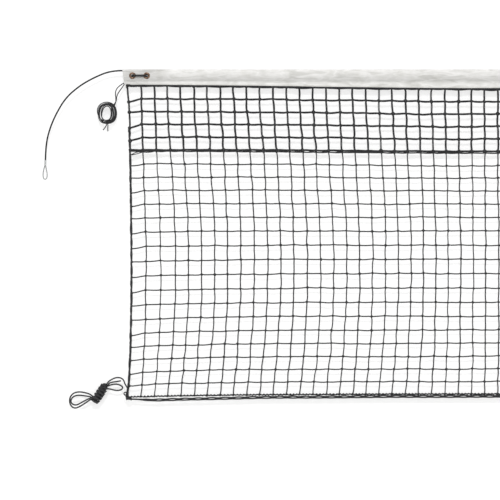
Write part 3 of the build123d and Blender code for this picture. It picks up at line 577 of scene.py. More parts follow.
def netting_tree(doubled):
    """One span of netting: bowed uprights and lines, and a knot at each crossing."""
    tree, given, out = group(
        "Doubled netting" if doubled else "Single netting",
        [
            ("Columns", "Int", 37), ("Uprights", "Int", 37), ("Rows", "Int", SINGLE_ROWS),
            ("All Columns", "Int", COLUMNS),
            ("First Column", "Int", 0), ("Steps", "Int", 4), ("Sides", "Int", 4), ("Seed", "Float", 1.0),
            ("Left", "Float", 0.0), ("Top", "Float", 0.0), ("Depth", "Float", 0.0),
            ("Pitch", "Float", 0.043), ("Row Height", "Float", 0.044), ("Twine Radius", "Float", 0.0014),
            ("Strand Gap", "Float", 0.0), ("Sag", "Float", 0.002), ("Wander", "Float", 0.003),
            ("Jitter", "Float", 0.001), ("Edge Droop", "Float", 0.004), ("Net Top", "Float", 0.0),
            ("Net Foot", "Float", -1.0), ("Lean", "Float", 0.02), ("Hem Sag", "Float", 0.01),
            ("Sag At Top", "Float", 1.0), ("Sag Lost", "Float", 0.4), ("Row Swell", "Float", 0.0),
            ("End Drop", "Float", 0.0), ("Knot Size", "Float", 0.003), ("Material", "Material", None),
        ],
    )
    join = add(tree, "GeometryNodeJoinGeometry")
    for upright in (False, True):
        for shift in (-0.5, 0.5) if doubled else (0.0,):
            curve = netting_strands(tree, given, upright, shift)
            body = sweep_nodes(tree, curve, given["Twine Radius"], given["Sides"])
            tree.links.new(body, join.inputs[0])
    size_x = maths(tree, "SUBTRACT", given["Uprights"], 1.0)
    grid = add(
        tree,
        "GeometryNodeMeshGrid",
        {
            "Size X": size_x,
            "Size Y": given["Rows"],
            "Vertices X": given["Uprights"],
            "Vertices Y": maths(tree, "ADD", given["Rows"], 1.0),
        },
    ).outputs["Mesh"]
    spot = add(tree, "ShaderNodeSeparateXYZ", {0: add(tree, "GeometryNodeInputPosition").outputs[0]}).outputs
    column = maths(tree, "ROUND", maths(tree, "MULTIPLY_ADD", size_x, 0.5, spot["X"]))
    row = maths(tree, "SUBTRACT", maths(tree, "MULTIPLY", given["Rows"], 0.5), spot["Y"])
    row = maths(tree, "ROUND", row)
    placed = knot_place(tree, given, column, row)
    points = add(tree, "GeometryNodeSetPosition", {"Geometry": grid, "Position": placed}).outputs[0]
    core = add(tree, "GeometryNodeMeshUVSphere", {"Segments": 6, "Rings": 4, "Radius": 0.8}).outputs["Mesh"]
    loop = add(tree, "GeometryNodeCurvePrimitiveCircle", {"Resolution": 8, "Radius": 0.78}).outputs[0]
    wrap = sweep_nodes(tree, loop, 0.42, 4)
    wrap = add(tree, "GeometryNodeTransform", {"Geometry": wrap, "Rotation": (1.25, 0.65, 0.0)}).outputs[0]
    knot = add(tree, "GeometryNodeJoinGeometry")
    tree.links.new(core, knot.inputs[0])
    tree.links.new(wrap, knot.inputs[0])
    turn = add(
        tree,
        "FunctionNodeRandomValue",
        {"Min": (-0.3, -0.6, -0.3), "Max": (0.3, 0.6, 0.3), "Seed": 11},
        data_type="FLOAT_VECTOR",
    ).outputs["Value"]
    grow = add(tree, "FunctionNodeRandomValue", {"Min": 0.85, "Max": 1.2, "Seed": 5}, data_type="FLOAT")
    size = maths(tree, "MULTIPLY", grow.outputs[1], given["Knot Size"])
    knots = add(
        tree,
        "GeometryNodeInstanceOnPoints",
        {"Points": points, "Instance": knot.outputs[0], "Rotation": turn, "Scale": size},
    )
    tree.links.new(knots.outputs[0], join.inputs[0])
    return finish_tree(tree, join.outputs[0], given["Material"], out)


def stitch_tree():
    """A short rounded stitch at each point, lying along the net."""
    tree, given, out = group(
        "Stitches", [("Length", "Float", 0.004), ("Radius", "Float", 0.0004), ("Material", "Material", None)]
    )
    bar = add(
        tree, "GeometryNodeMeshCylinder", {"Vertices": 5, "Side Segments": 1, "Radius": 1.0, "Depth": 1.0}
    ).outputs["Mesh"]
    lying = {"Geometry": bar, "Rotation": (0.0, math.pi / 2, 0.0)}
    bar = add(tree, "GeometryNodeTransform", lying).outputs[0]
    scale = add(tree, "ShaderNodeCombineXYZ", {0: given["Length"], 1: given["Radius"], 2: given["Radius"]})
    many = add(
        tree,
        "GeometryNodeInstanceOnPoints",
        {"Points": given["Geometry"], "Instance": bar, "Scale": scale.outputs[0]},
    )
    return finish_tree(tree, many.outputs[0], given["Material"], out)


TREES = {}


def tree_named(name):
    """Makes each geometry tree once, when it is first asked for."""
    recipes = {
        "cord": cord_tree,
        "single": lambda: netting_tree(False),
        "doubled": lambda: netting_tree(True),
        "stitches": stitch_tree,
    }
    if name not in TREES:
        TREES[name] = recipes[name]()
    return TREES[name]


# ---------------------------------------------------------------- cords
def chain(name, lines):
    """A mesh of open chains of edges, one for each list of points."""
    verts = []
    edges = []
    for line in lines:
        first = len(verts)
        verts.extend(line)
        edges.extend((first + i, first + i + 1) for i in range(len(line) - 1))
    mesh = bpy.data.meshes.new(name)
    mesh.from_pydata([tuple(v) for v in verts], edges, [])
    return mesh


def cords(name, lines, radius, finish, sides=10):
    """Round cords along the given lines, as one piece."""
    values = {"Radius": radius, "Sides": sides, "Material": finish_named(finish)}
    return grown(name, tree_named("cord"), values, chain(name, lines))


def smooth_line(points, resolution=6):
    """The points of the smooth NURBS curve that these control points give."""
    curve = bpy.data.curves.new("route", "CURVE")
    curve.dimensions = "3D"
    curve.resolution_u = resolution
    spline = curve.splines.new("NURBS")
    spline.points.add(len(points) - 1)
    for target, point in zip(spline.points, points):
        target.co = (*point, 1.0)
    spline.order_u = 3
    spline.use_endpoint_u = True
    item = mesh_object("route", curve)
    mesh = bpy.data.meshes.new_from_object(item.evaluated_get(bpy.context.evaluated_depsgraph_get()))
    line = [v.co.copy() for v in mesh.vertices]
    bpy.data.objects.remove(item)
    bpy.data.curves.remove(curve)
    bpy.data.meshes.remove(mesh)
    return line


def outside(points, side, level=0.0):
    """Millimetres (past the edge upright, y, over a level) as points, at the left (-1) or right (1) end."""
    return [Vector((side * (HALF + out * MM), y * MM, level + z * MM)) for out, y, z in points]


CABLE_ROUTE = [
    (17.5, 0.0, 0.0),
    (55.0, 0.0, 0.0),
    (113.0, -1.5, -24.5),
    (158.0, -3.0, -51.0),
    (202.0, -3.5, -89.5),
    (234.0, -2.5, -144.0),
    (254.0, -1.0, -192.0),
    (266.0, 0.5, -243.0),
    (267.0, 1.0, -291.0),
]
UPPER_TIE_OUTER = [
    (12.6, 5.6, -40.5),
    (21.5, 5.0, -45.6),
    (32.5, 3.4, -54.5),
    (39.0, 2.4, -66.0),
    (39.8, 1.6, -78.0),
    (37.6, 1.4, -90.5),
    (38.6, 0.9, -104.5),
]
UPPER_TIE_INNER = [
    (11.4, 5.2, -44.9),
    (17.6, 4.6, -54.4),
    (24.6, 1.4, -64.0),
    (31.4, -1.2, -75.0),
    (36.0, -2.6, -86.5),
    (35.4, -2.8, -99.0),
]
HELD_OUTER = [(12.6, 5.6, -40.5), (-3.0, 6.6, -31.5)]
HELD_INNER = [(11.4, 5.2, -44.9), (4.0, 5.9, -33.5)]
UPPER_TAIL_OUTER = [(67.6, -2.2, -175.5), (72.0, -2.6, -184.0), (79.6, -2.0, -193.5)]
UPPER_TAIL_INNER = [(63.4, 2.0, -175.3), (64.6, 2.2, -186.0), (64.0, 2.0, -197.0)]
# heights over the bottom rope's underside
LOWER_TIE_ROUTE = [
    (-0.6, -6.4, 16.0),
    (-0.6, -6.4, 29.0),
    (8.6, -6.8, 41.0),
    (11.6, -6.0, 53.5),
    (20.5, -4.5, 61.5),
    (37.0, -2.5, 62.8),
    (52.0, -1.0, 56.0),
    (63.5, -0.5, 48.3),
]
HANK_LEFT_OUTER = [
    (118.0, 1.5, 6.8),
    (137.0, 2.4, 12.8),
    (157.0, 2.6, 16.3),
    (175.0, 2.8, 12.3),
    (186.5, 2.8, 0.8),
    (189.5, 2.6, -15.2),
    (184.0, 2.4, -31.2),
    (171.0, 2.4, -38.7),
    (153.0, 2.2, -31.2),
    (134.0, 2.0, -18.2),
    (116.0, 1.5, -6.2),
]
HANK_LEFT_INNER = [
    (118.0, -2.6, -0.2),
    (138.0, -2.8, 2.8),
    (157.0, -2.8, 5.3),
    (173.0, -2.6, 2.8),
    (183.0, -2.6, -6.2),
    (184.5, -2.6, -17.7),
    (177.0, -2.6, -26.2),
    (164.0, -2.6, -27.2),
    (147.0, -2.8, -17.2),
    (128.0, -2.6, -7.2),
    (114.0, -2.0, -2.2),
]
HANK_RIGHT_LOOP = [
    (66.0, 2.4, 33.8),
    (54.0, 2.8, 38.8),
    (40.0, 3.0, 41.3),
    (26.0, 2.8, 38.8),
    (15.5, 2.4, 31.8),
    (17.5, 2.4, 23.8),
    (30.0, 2.6, 19.3),
    (45.0, 2.8, 21.3),
    (57.0, 2.6, 25.3),
    (70.0, 2.2, 25.3),
]
HANK_FREE_END = [(62.0, -3.4, 43.3), (48.0, -4.4, 47.8), (34.0, -4.8, 49.3), (21.5, -5.0, 51.8)]
SPINDLE_TOP = (70.0, 0.0, 41.8)
SPINDLE_FOOT = (108.5, 0.0, -19.7)


def coil_turns(first, count):
    """Loose oval turns down the coil's inner side and round to its foot, each of its own size."""
    points = []
    per_turn = 18
    start = math.radians(40)
    total = math.radians(130) + 2 * math.pi * count
    steps = int(per_turn * total / (2 * math.pi))
    order = [5, 1, 3, 6, 0, 4, 2]
    for step in range(steps + 1):
        done = step / steps * total
        turn = done / (2 * math.pi)
        low = int(turn)
        share = smoothstep((turn - low - 0.25) / 0.55)
        picked = [order[(first + 2 * (low + k)) % len(order)] for k in (0, 1)]
        size = picked[0] * (1 - share) + picked[1] * share
        angle = start - done
        # the inner side is gathered, the outer side fans out
        fan = 0.35 + 0.65 * (1 - math.cos(angle)) / 2
        wide = 14.2 + 3.0 * size + 5.5 * fan * drift(turn * 2.3, first * 4.7, 1.0)
        tall = 22.8 + 2.1 * size + 4.0 * fan * drift(turn * 2.7, first * 9.1, 3.0)
        layer = [(-1, 0, 1)[p % 3] for p in picked]
        depth = 3.4 * (layer[0] * (1 - share) + layer[1] * share)
        c, d = math.cos(angle), math.sin(angle)
        square = (abs(c) ** 3 + abs(d) ** 3) ** (-1 / 3) * 0.35 + 0.65
        points.append((67.2 - wide * c * square, depth, -138.4 + tall * d * square))
    return points


def spindle_turns(shares, turns, radius, lean, phase):
    """Turns wound round the hank's middle between two shares of its length, leaning one way."""
    top = Vector(SPINDLE_TOP)
    foot = Vector(SPINDLE_FOOT)
    along = (top - foot).normalized()
    across = Vector((0, 1, 0))
    third = along.cross(across)
    points = []
    per_turn = 14
    steps = turns * per_turn
    for step in range(steps + 1):
        share = shares[0] + (shares[1] - shares[0]) * step / steps
        angle = 2 * math.pi * step / per_turn + phase
        waist = radius * (0.72 + 0.34 * math.sin(math.pi * share) ** 0.8)
        waist += 0.5 * drift(step * 0.21, radius)
        at = foot + along * ((foot - top).length * share + lean * math.sin(angle + 0.4))
        points.append(at + across * (waist * math.cos(angle)) + third * (waist * math.sin(angle)))
    return [tuple(p) for p in points]


def through_spindle(up, lane):
    """A run inside the hank's wrapped middle; lane keeps the runs apart."""
    top = Vector(SPINDLE_TOP)
    foot = Vector(SPINDLE_FOOT)
    third = (top - foot).normalized().cross(Vector((0, 1, 0)))
    shift = Vector((0, 1, 0)) * (5.2 * math.cos(lane)) + third * (5.2 * math.sin(lane))
    run = [foot.lerp(top, share) + shift for share in (0.14, 0.5, 0.86)]
    return [tuple(p) for p in (run if up else reversed(run))]


def lower_tie_points():
    """The lower tie cord, from the corner knot through the hank's loops to its cut end."""
    return (
        LOWER_TIE_ROUTE
        + through_spindle(False, 0.5)
        + HANK_LEFT_OUTER
        + through_spindle(True, 1.8)
        + HANK_RIGHT_LOOP
        + through_spindle(False, 3.1)
        + HANK_LEFT_INNER
        + spindle_turns((0.02, 0.98), 12, 9.0, 1.5, 0.6)
        + spindle_turns((0.9, 0.1), 5, 12.8, -5.5, 0.9)
        + spindle_turns((0.06, 0.94), 6, 13.2, 5.5, 1.4)
        + HANK_FREE_END
    )


# ---------------------------------------------------------------- headband surface
BAND_TOP = BAND_HIGH[2]
BAND_BOTTOM = BAND_LOW[2]
SEAM_Z = BAND_BOTTOM + 0.0150
FOLD_RADIUS = BAND_TOP
PLY = 1.0 * MM
TUNNEL_RADIUS = 3.2 * MM
HEM_FACE = 1.5 * MM
SLEEVE_DEPTH = 6.5 * MM
FLAT_END = 90 * MM
BLEND_END = 60 * MM


def looseness(x):
    """0 where the band is pressed flat, 1 where it is a loose sleeve."""
    return smoothstep((HALF - FLAT_END - abs(x)) / BLEND_END)


def seam_height(x):
    """The seam below the sleeve wanders a little along the band."""
    waves = 1.3 * MM * drift(x * 6.0, 2.0) + 0.6 * MM * drift(x * 23.0, 7.0)
    return SEAM_Z - 0.8 * hem_sag(x) + looseness(x) * waves


def hem_height(x):
    """The hem's lower edge, almost straight."""
    return BAND_BOTTOM - hem_sag(x) + 0.6 * MM * looseness(x) * drift(x * 9.0, 4.0)


def band_depth(x, z, side):
    """Half thickness of the band at a height, on its front (-1) or back (1)."""
    loose = looseness(x)
    seam = seam_height(x)
    if z > 0:
        round_top = math.sqrt(max(FOLD_RADIUS**2 - z * z, 0.0))
    else:
        round_top = math.sqrt(max(FOLD_RADIUS**2 - z * z, HEM_FACE**2)) if z > -FOLD_RADIUS else HEM_FACE
    if loose <= 0 or z >= BAND_TOP - 0.0001:
        return round_top
    if z <= seam:
        sleeve = HEM_FACE + 0.35 * MM * drift(x * 38.0, z * 60.0, side)
        pucker = math.exp(-((seam - z) / (2.2 * MM)) ** 2)
        return max(0.6 * MM, sleeve + loose * pucker * 0.35 * MM * drift(x * 110.0, 3.0, side))
    share = (z - seam) / (BAND_TOP - seam)
    belly = SLEEVE_DEPTH * (1 + 0.16 * drift(x * 4.0, side * 5.0))
    peak = 0.52 + 0.1 * drift(x * 7.0, side * 9.0, 1.0)
    rise = math.sin(math.pi * share ** (math.log(0.5) / math.log(peak)))
    body = HEM_FACE * (1 - share) + belly * rise**0.62
    body = max(body, round_top if z > -0.5 * FOLD_RADIUS else 0.0)
    creases = drift(x * 26.0 + z * 42.0, z * 30.0, side * 3.0) * 1.5
    creases += drift(x * 58.0 - z * 70.0, z * 24.0, side * 6.0 + 1) * 0.8
    creases += drift(x * 120.0, z * 60.0, side * 8.0 + 2) * 0.35
    gather = math.exp(-((z - seam) / (7.0 * MM)) ** 1) * drift(x * 90.0, 1.0, side) * 0.8
    mask = math.sin(math.pi * min(max(share, 0.0), 1.0)) ** 0.5
    body += MM * (creases * mask + gather)
    return max(0.7 * MM, round_top * (1 - loose) + body * loose)


def band_outline(x, count):
    """Points round the outside of the band at x: up the front, over the cable and down the back."""
    low = hem_height(x)
    front, back = [], []
    for k in range(count):
        share = k / (count - 1)
        # points crowd towards the fold, where the cloth turns quickly
        spread = share if share < 0.5 else 0.5 - 0.5 * math.cos(math.pi * share)
        z = low + (BAND_TOP - low) * spread
        front.append((-band_depth(x, z, -1), z))
        back.append((band_depth(x, z, 1), z))
    return front + back[-2::-1]


def tunnel_outline(x, count):
    """Points round the inside of the fold at x, a tape's thickness within the outside."""
    low = -TUNNEL_RADIUS * (1 - looseness(x)) + (SEAM_Z + 1.0 * MM) * looseness(x)
    high = BAND_TOP - PLY
    # the mouth sags open a little under the cable
    low -= MOUTH_SAG * smoothstep((abs(x) - (HALF + 10 * MM - MOUTH_REACH)) / MOUTH_REACH)
    front, back = [], []
    for k in range(count):
        turn = math.pi * k / (count - 1)
        z = (low + high) / 2 - (high - low) / 2 * math.cos(turn)
        room = [max(band_depth(x, z, side) - PLY, 0.0) for side in (-1, 1)]
        narrow = min(TUNNEL_RADIUS * math.sin(turn), max(band_depth(x, z, -1) - 0.3 * MM, 0.0))
        loose = looseness(x)
        ease = math.sin(turn) ** 0.4
        front.append((-(room[0] * ease * loose + narrow * (1 - loose)), z))
        back.append(((room[1] * ease * loose + narrow * (1 - loose)), z))
    return front + back[-2:0:-1]


# ---------------------------------------------------------------- settings
class TennisNetSettings(bpy.types.PropertyGroup):
    """Sizes of the netting's twine and of the cords."""

    twine: bpy.props.FloatProperty(
        name="Twine",
        description="Diameter of one twine, before it is drawn thicker",
        default=2.7 * MM,
        unit="LENGTH",
    )
    sag: bpy.props.FloatProperty(
        name="Sag", description="How far a run of twine bows", default=1.7 * MM, unit="LENGTH"
    )
    wander: bpy.props.FloatProperty(
        name="Wander", description="How far the meshes drift", default=3.6 * MM, unit="LENGTH"
    )
    jitter: bpy.props.FloatProperty(
        name="Jitter", description="How far a knot is off its line", default=1.3 * MM, unit="LENGTH"
    )
    columns: bpy.props.IntProperty(name="Columns", description="Meshes along the net", default=COLUMNS)
    double_rows: bpy.props.IntProperty(
        name="Double rows", description="Rows of doubled twine", default=DOUBLE_ROWS
    )
    single_rows: bpy.props.IntProperty(
        name="Single rows", description="Rows of single twine", default=SINGLE_ROWS
    )
    upper_tie: bpy.props.FloatProperty(
        name="Upper tie", description="Diameter of the upper tie cord", default=3.3 * MM, unit="LENGTH"
    )
    lower_tie: bpy.props.FloatProperty(
        name="Lower tie", description="Diameter of the lower tie cord", default=4.8 * MM, unit="LENGTH"
    )
    cable: bpy.props.FloatProperty(
        name="Cable", description="Diameter over the cable's coating", default=5.4 * MM, unit="LENGTH"
    )
    stitch: bpy.props.FloatProperty(
        name="Stitch", description="Length of a stitch", default=4.2 * MM, unit="LENGTH"
    )


def settings():
    return bpy.context.scene.tennis_net


class Builder:
    """What every operator here shares."""

    bl_options = {"REGISTER", "UNDO"}


class TENNISNET_OT_stage(Builder, bpy.types.Operator):
    """Floor, wall, lights and camera"""

    bl_idname = "tennisnet.stage"
    bl_label = "Stage"

    def execute(self, context):
        build_stage(context.scene)
        return {"FINISHED"}


class TENNISNET_OT_ties(Builder, bpy.types.Operator):
    """Tie cords at the four corners"""

    bl_idname = "tennisnet.ties"
    bl_label = "Tie cords"

    def execute(self, context):
        for side, hand in ((-1, "left"), (1, "right")):
            build_upper_tie(side, hand)
            build_lower_tie(side, hand)
        return {"FINISHED"}


class TENNISNET_OT_cable(Builder, bpy.types.Operator):
    """Headband cable with its two eyes"""

    bl_idname = "tennisnet.cable"
    bl_label = "Cable"

    def execute(self, context):
        build_cable()
        return {"FINISHED"}


class TENNISNET_OT_headband(Builder, bpy.types.Operator):
    """White headband with its seams, patches and eyelets"""

    bl_idname = "tennisnet.headband"
    bl_label = "Headband"

    def execute(self, context):
        build_headband()
        build_stitches()
        build_eyelets()
        return {"FINISHED"}


class TENNISNET_OT_netting(Builder, bpy.types.Operator):
    """Knotted netting, doubled above and single below"""

    bl_idname = "tennisnet.netting"
    bl_label = "Netting"

    def execute(self, context):
        build_netting()
        return {"FINISHED"}


class TENNISNET_OT_ropes(Builder, bpy.types.Operator):
    """Head, side and bottom ropes with their lacing"""

    bl_idname = "tennisnet.ropes"
    bl_label = "Ropes"

    def execute(self, context):
        build_ropes()
        return {"FINISHED"}


OPERATORS = (
    TENNISNET_OT_stage,
    TENNISNET_OT_ties,
    TENNISNET_OT_cable,
    TENNISNET_OT_headband,
    TENNISNET_OT_netting,
    TENNISNET_OT_ropes,
)


class TENNISNET_PT_panel(bpy.types.Panel):
    """Lists the net's settings and its building steps"""

    bl_label = "Tennis Net"
    bl_idname = "TENNISNET_PT_panel"
    bl_space_type = "VIEW_3D"
    bl_region_type = "UI"
    bl_category = "Tennis Net"

    def draw(self, context):
        for name in TennisNetSettings.__annotations__:
            self.layout.prop(context.scene.tennis_net, name)
        for operator in OPERATORS:
            self.layout.operator(operator.bl_idname)


# ---------------------------------------------------------------- stage
def stage_finish(name, code, glow, backless):
    """Pale matt surface that is partly lit from within, so that shadows on it stay faint."""
    made = bpy.data.materials.new(name)
    made.use_nodes = True
    tree = made.node_tree
    tree.nodes.clear()
    matt = add(tree, "ShaderNodeBsdfDiffuse", {"Color": srgb(code)})
    light = add(tree, "ShaderNodeEmission", {"Color": srgb(code), "Strength": glow})
    both = add(tree, "ShaderNodeAddShader", {0: matt.outputs[0], 1: light.outputs[0]}).outputs[0]
    if backless:
        side = add(tree, "ShaderNodeNewGeometry").outputs["Backfacing"]
        clear = add(tree, "ShaderNodeBsdfTransparent")
        both = add(tree, "ShaderNodeMixShader", {0: side, 1: both, 2: clear.outputs[0]}).outputs[0]
    add(tree, "ShaderNodeOutputMaterial", {"Surface": both})
    return made


def plane(name, corners, finish):
    mesh = bpy.data.meshes.new(name)
    mesh.from_pydata(corners, [], [(0, 1, 2, 3)])
    mesh.materials.append(finish)
    item = mesh_object(name, mesh)
    return item


def build_stage(scene):
    """Pale floor, a white wall just behind the net, soft light from above and the camera."""
    reach = 40.0
    wall_y = 0.019
    floor = stage_finish("pale floor", "#BDBDBC", 1.07, False)
    corners = ((-reach, -reach), (reach, -reach), (reach, reach), (-reach, reach))
    plane("floor", [(x, y, FLOOR_Z) for x, y in corners], floor)
    wall = stage_finish("white wall", "#B4B4B4", 1.23, True)
    corners = ((-9.0, FLOOR_Z), (9.0, FLOOR_Z), (9.0, 2.5), (-9.0, 2.5))
    plane("wall", [(x, wall_y, z) for x, z in corners], wall)
    world = bpy.data.worlds.new("studio")
    world.use_nodes = True
    world.node_tree.nodes["Background"].inputs[0].default_value = srgb("#FFFFFF")
    world.node_tree.nodes["Background"].inputs[1].default_value = 0.75
    scene.world = world
    key = bpy.data.lights.new("key", "SUN")
    key.energy = 1.5
    key.angle = math.radians(7)
    key_item = mesh_object("key", key)
    key_item.rotation_euler = (math.radians(46), 0, 0)
    camera = bpy.data.cameras.new("camera")
    camera.lens = 265.8
    camera.clip_end = 400
    item = mesh_object("camera", camera)
    item.location = (-HALF + 0.398, -12.0, -0.583)
    item.rotation_euler = (math.radians(90), 0, 0)
    scene.camera = item
    scene.view_settings.view_transform = "Standard"


# ---------------------------------------------------------------- tie cords
def tie_turns(x, radius, level, rise, step, count):
    """Points of a few turns of the tie cord behind or in an eyelet."""
    return [
        (x + radius * math.cos(k * step), level + rise * k, EYELET_LEVEL + radius * math.sin(k * step))
        for k in range(count)
    ]


def build_upper_tie(side, hand):
    """Two strands from the headband's corner to a loose coil, each with its own turns and tail."""
    strands = (
        ("outer", UPPER_TIE_OUTER, 0, 3, UPPER_TAIL_OUTER),
        ("inner", UPPER_TIE_INNER, 1, 3, UPPER_TAIL_INNER),
    )
    for name, route, first, turns, tail in strands:
        points = outside(route + coil_turns(first, turns) + tail, side)
        line = smooth_line(points)
        piece = cords(f"upper_tie_{name}_{hand}", [line], settings().upper_tie / 2, "cord")
        nodes = ["upper_tie_cords", f"upper_tie_coil_{hand}", "upper_tie_tails"]
        place(piece, "root", "tie_cord", *nodes)
    held = []
    for start, shift in ((HELD_OUTER, TIE_STRAND_SHIFT), (HELD_INNER, -TIE_STRAND_SHIFT)):
        z = EYELET_LEVEL + shift
        route = start + [
            (-16.0, 6.2, z), (-16.0, 3.0, z), (-16.0, -1.5, z), (-16.2, -5.6, z), (-20.0, -6.4, z),
            (-39.0, -6.6, EYELET_LEVEL + shift * 0.9), (-57.5, -6.2, z), (-61.8, -5.2, z),
            (-62.0, -1.5, z), (-62.0, 4.0, z),
        ]
        held.append(smooth_line(outside(route, side)))
    held.append(smooth_line(outside(tie_turns(-62, 5.0, 5.6, 0.55, 1.3, 11), side)))
    for radius, level in ((3.4, 4.4), (2.6, 2.6)):
        held.append(smooth_line(outside(tie_turns(-16, radius, level, 0.35, 1.1, 8), side)))
    piece = cords(f"eyelet_tie_{hand}", held, settings().upper_tie / 2, "cord")
    place(piece, "root", "tie_cord", "eyelet_ties")


def build_lower_tie(side, hand):
    """The thicker cord at the foot, wound into a hank."""
    line = smooth_line(outside(lower_tie_points(), side, ROPE_LOW[2]), 4)
    piece = cords(f"lower_tie_{hand}", [line], settings().lower_tie / 2, "cord")
    place(piece, "root", "tie_cord", "lower_tie_cords", f"lower_tie_hank_{hand}")


# ---------------------------------------------------------------- cable
def build_cable():
    for side, hand in ((-1, "left"), (1, "right")):
        route = smooth_line(outside(CABLE_ROUTE, side), 10)
        cable = cords(f"coated_cable_{hand}", [route], settings().cable / 2, "vinyl", 14)
        place(cable, "cable", "cable_coating", f"cable_end_{hand}")
        eye = eye_loop(side, hand, route)
    for name, finish in (
        ("cable_jacket", "vinyl"), ("cable_core", "wire"),
        ("ferrule_left", "aluminium"), ("ferrule_right", "aluminium"),
    ):
        dress(name, finish)


def dress(node, finish):
    """Gives a CAD node its finish."""
    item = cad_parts[node]
    item.data.materials.clear()
    item.data.materials.append(finish_named(finish))


def eye_loop(side, hand, route):
    """The wire rope's drop-shaped loop below the ferrule."""
    low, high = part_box(f"cable_eye_{hand}")
    middle = (Vector(low) + Vector(high)) / 2
    rope = 3.4 * MM
    wide = (high[0] - low[0]) / 2 - rope / 2
    top = high[2] + 2 * MM
    foot = low[2] + rope / 2
    points = []
    steps = 30
    for step in range(steps + 1):
        turn = 2 * math.pi * step / steps
        drop = math.sin(turn / 2) ** 1.5
        x = middle.x + side * wide * math.sin(turn) * (0.35 + 0.75 * math.sin(turn / 2) ** 1.2) * 1.07
        points.append((x, middle.y, top + (foot - top) * drop))
    loop = smooth_line(points, 4)
    eye = cords(f"wire_eye_{hand}", [loop], rope / 2, "wire", 12)
    return place(eye, "cable", "wire_rope", f"cable_eye_{hand}")


# ---------------------------------------------------------------- headband
def slant(x, z):
    """Moves a point of the band's ends onto their slanted cut."""
    share = (z - BAND_BOTTOM) / (BAND_TOP - BAND_BOTTOM)
    limit = HALF + (10.4 + (17.5 - 10.4) * share) * MM
    return max(-limit, min(limit, x))


def build_headband():
    """The folded tape: an outer and an inner face that meet at its two open ends."""
    columns = 2000
    reach = BAND_HIGH[0]
    outer_count, inner_count = 15, 9
    verts, faces, rings = [], [], []
    for i in range(columns + 1):
        x = -reach + 2 * reach * i / columns
        rings.append([])
        for outline in (band_outline(x, outer_count), tunnel_outline(x, inner_count)):
            rings[-1].append(list(range(len(verts), len(verts) + len(outline))))
            verts.extend((slant(x, z), y, z) for y, z in outline)
    for here, there in zip(rings, rings[1:]):
        for inside, (a, b) in enumerate(zip(here, there)):
            for j in range(len(a)):
                k = (j + 1) % len(a)
                quad = (a[j], a[k], b[k], b[j])
                faces.append(quad[::-1] if inside else quad)
    mesh = bpy.data.meshes.new("headband_cloth")
    mesh.from_pydata(verts, [], faces)
    bm = bmesh.new()
    bm.from_mesh(mesh)
    bm.verts.ensure_lookup_table()
    for end in (rings[0], rings[-1]):
        loops = [
            [bm.edges.get((bm.verts[r[j]], bm.verts[r[(j + 1) % len(r)]])) for j in range(len(r))]
            for r in end
        ]
        bmesh.ops.bridge_loops(bm, edges=loops[0] + loops[1])
    bmesh.ops.triangulate(bm, faces=[f for f in bm.faces if len(f.verts) > 4])
    bmesh.ops.recalc_face_normals(bm, faces=bm.faces)
    bm.to_mesh(mesh)
    bm.free()
    mesh.materials.append(finish_named("cloth"))
    for face in mesh.polygons:
        face.use_smooth = True
    band = mesh_object("headband_cloth", mesh)
    cut_holes(band)
    place(band, "root", "headband_cloth", "headband")
    for hand in ("left", "right"):
        dress(f"headband_patches_{hand}", "cloth")


def cut_holes(band):
    """Opens the cloth at the eyelets."""
    low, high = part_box("eyelets")
    radius = (high[2] - low[2]) / 2
    z = (low[2] + high[2]) / 2
    bm = bmesh.new()
    for side in (-1, 1):
        for inset in EYELET_INSETS:
            spot = Matrix.Translation((side * (HALF - inset), 0, z)) @ Matrix.Rotation(math.pi / 2, 4, "X")
            bmesh.ops.create_cone(
                bm, cap_ends=True, segments=32, depth=0.05, matrix=spot,
                radius1=radius * 0.53, radius2=radius * 0.53,
            )
    mesh = bpy.data.meshes.new("eyelet_cutters")
    bm.to_mesh(mesh)
    bm.free()
    cutter = mesh_object("eyelet_cutters", mesh)
    modifier = band.modifiers.new("holes", "BOOLEAN")
    modifier.object = cutter
    modifier.operation = "DIFFERENCE"
    modifier.solver = "EXACT"
    result = bpy.data.meshes.new_from_object(band.evaluated_get(bpy.context.evaluated_depsgraph_get()))
    band.modifiers.clear()
    band.data = result
    bpy.data.objects.remove(cutter)


def build_stitches():
    """One row on the seam and one along the hem, on both faces."""
    spacing = settings().stitch * 1.35
    points = []
    count = int(2 * (HALF + 8 * MM) / spacing)
    for i in range(count + 1):
        x = -HALF - 8 * MM + spacing * i
        rows = (seam_height(x) - 1.2 * MM, hem_height(x) + 3.2 * MM)
        for z in rows:
            for side in (-1, 1):
                near_patch = abs(x) > HALF - 78 * MM
                face = band_depth(x, z, side) + (0.8 * MM if near_patch else 0.0)
                points.append((x, side * (face + 0.1 * MM), z))
    mesh = bpy.data.meshes.new("stitches")
    mesh.from_pydata(points, [], [])
    values = {"Length": settings().stitch, "Radius": 0.42 * MM, "Material": finish_named("thread")}
    piece = grown("headband_stitches", tree_named("stitches"), values, mesh)
    place(piece, "root", "headband_cloth")


def turned(name, outline, centres, finish, segments=48):
    """Turns an outline of (radius, y) round an axis along Y at each centre."""
    bm = bmesh.new()
    for centre in centres:
        rings = []
        for k in range(segments):
            a = 2 * math.pi * k / segments
            c, d = math.cos(a), math.sin(a)
            rings.append([bm.verts.new((centre[0] + r * c, y, centre[1] + r * d)) for r, y in outline])
        for k in range(segments):
            here, there = rings[k], rings[(k + 1) % segments]
            for j in range(len(outline)):
                n = (j + 1) % len(outline)
                bm.faces.new((here[j], here[n], there[n], there[j]))
    bmesh.ops.recalc_face_normals(bm, faces=bm.faces)
    mesh = bpy.data.meshes.new(name)
    bm.to_mesh(mesh)
    bm.free()
    mesh.materials.append(finish_named(finish))
    for face in mesh.polygons:
        face.use_smooth = True
    return mesh_object(name, mesh)


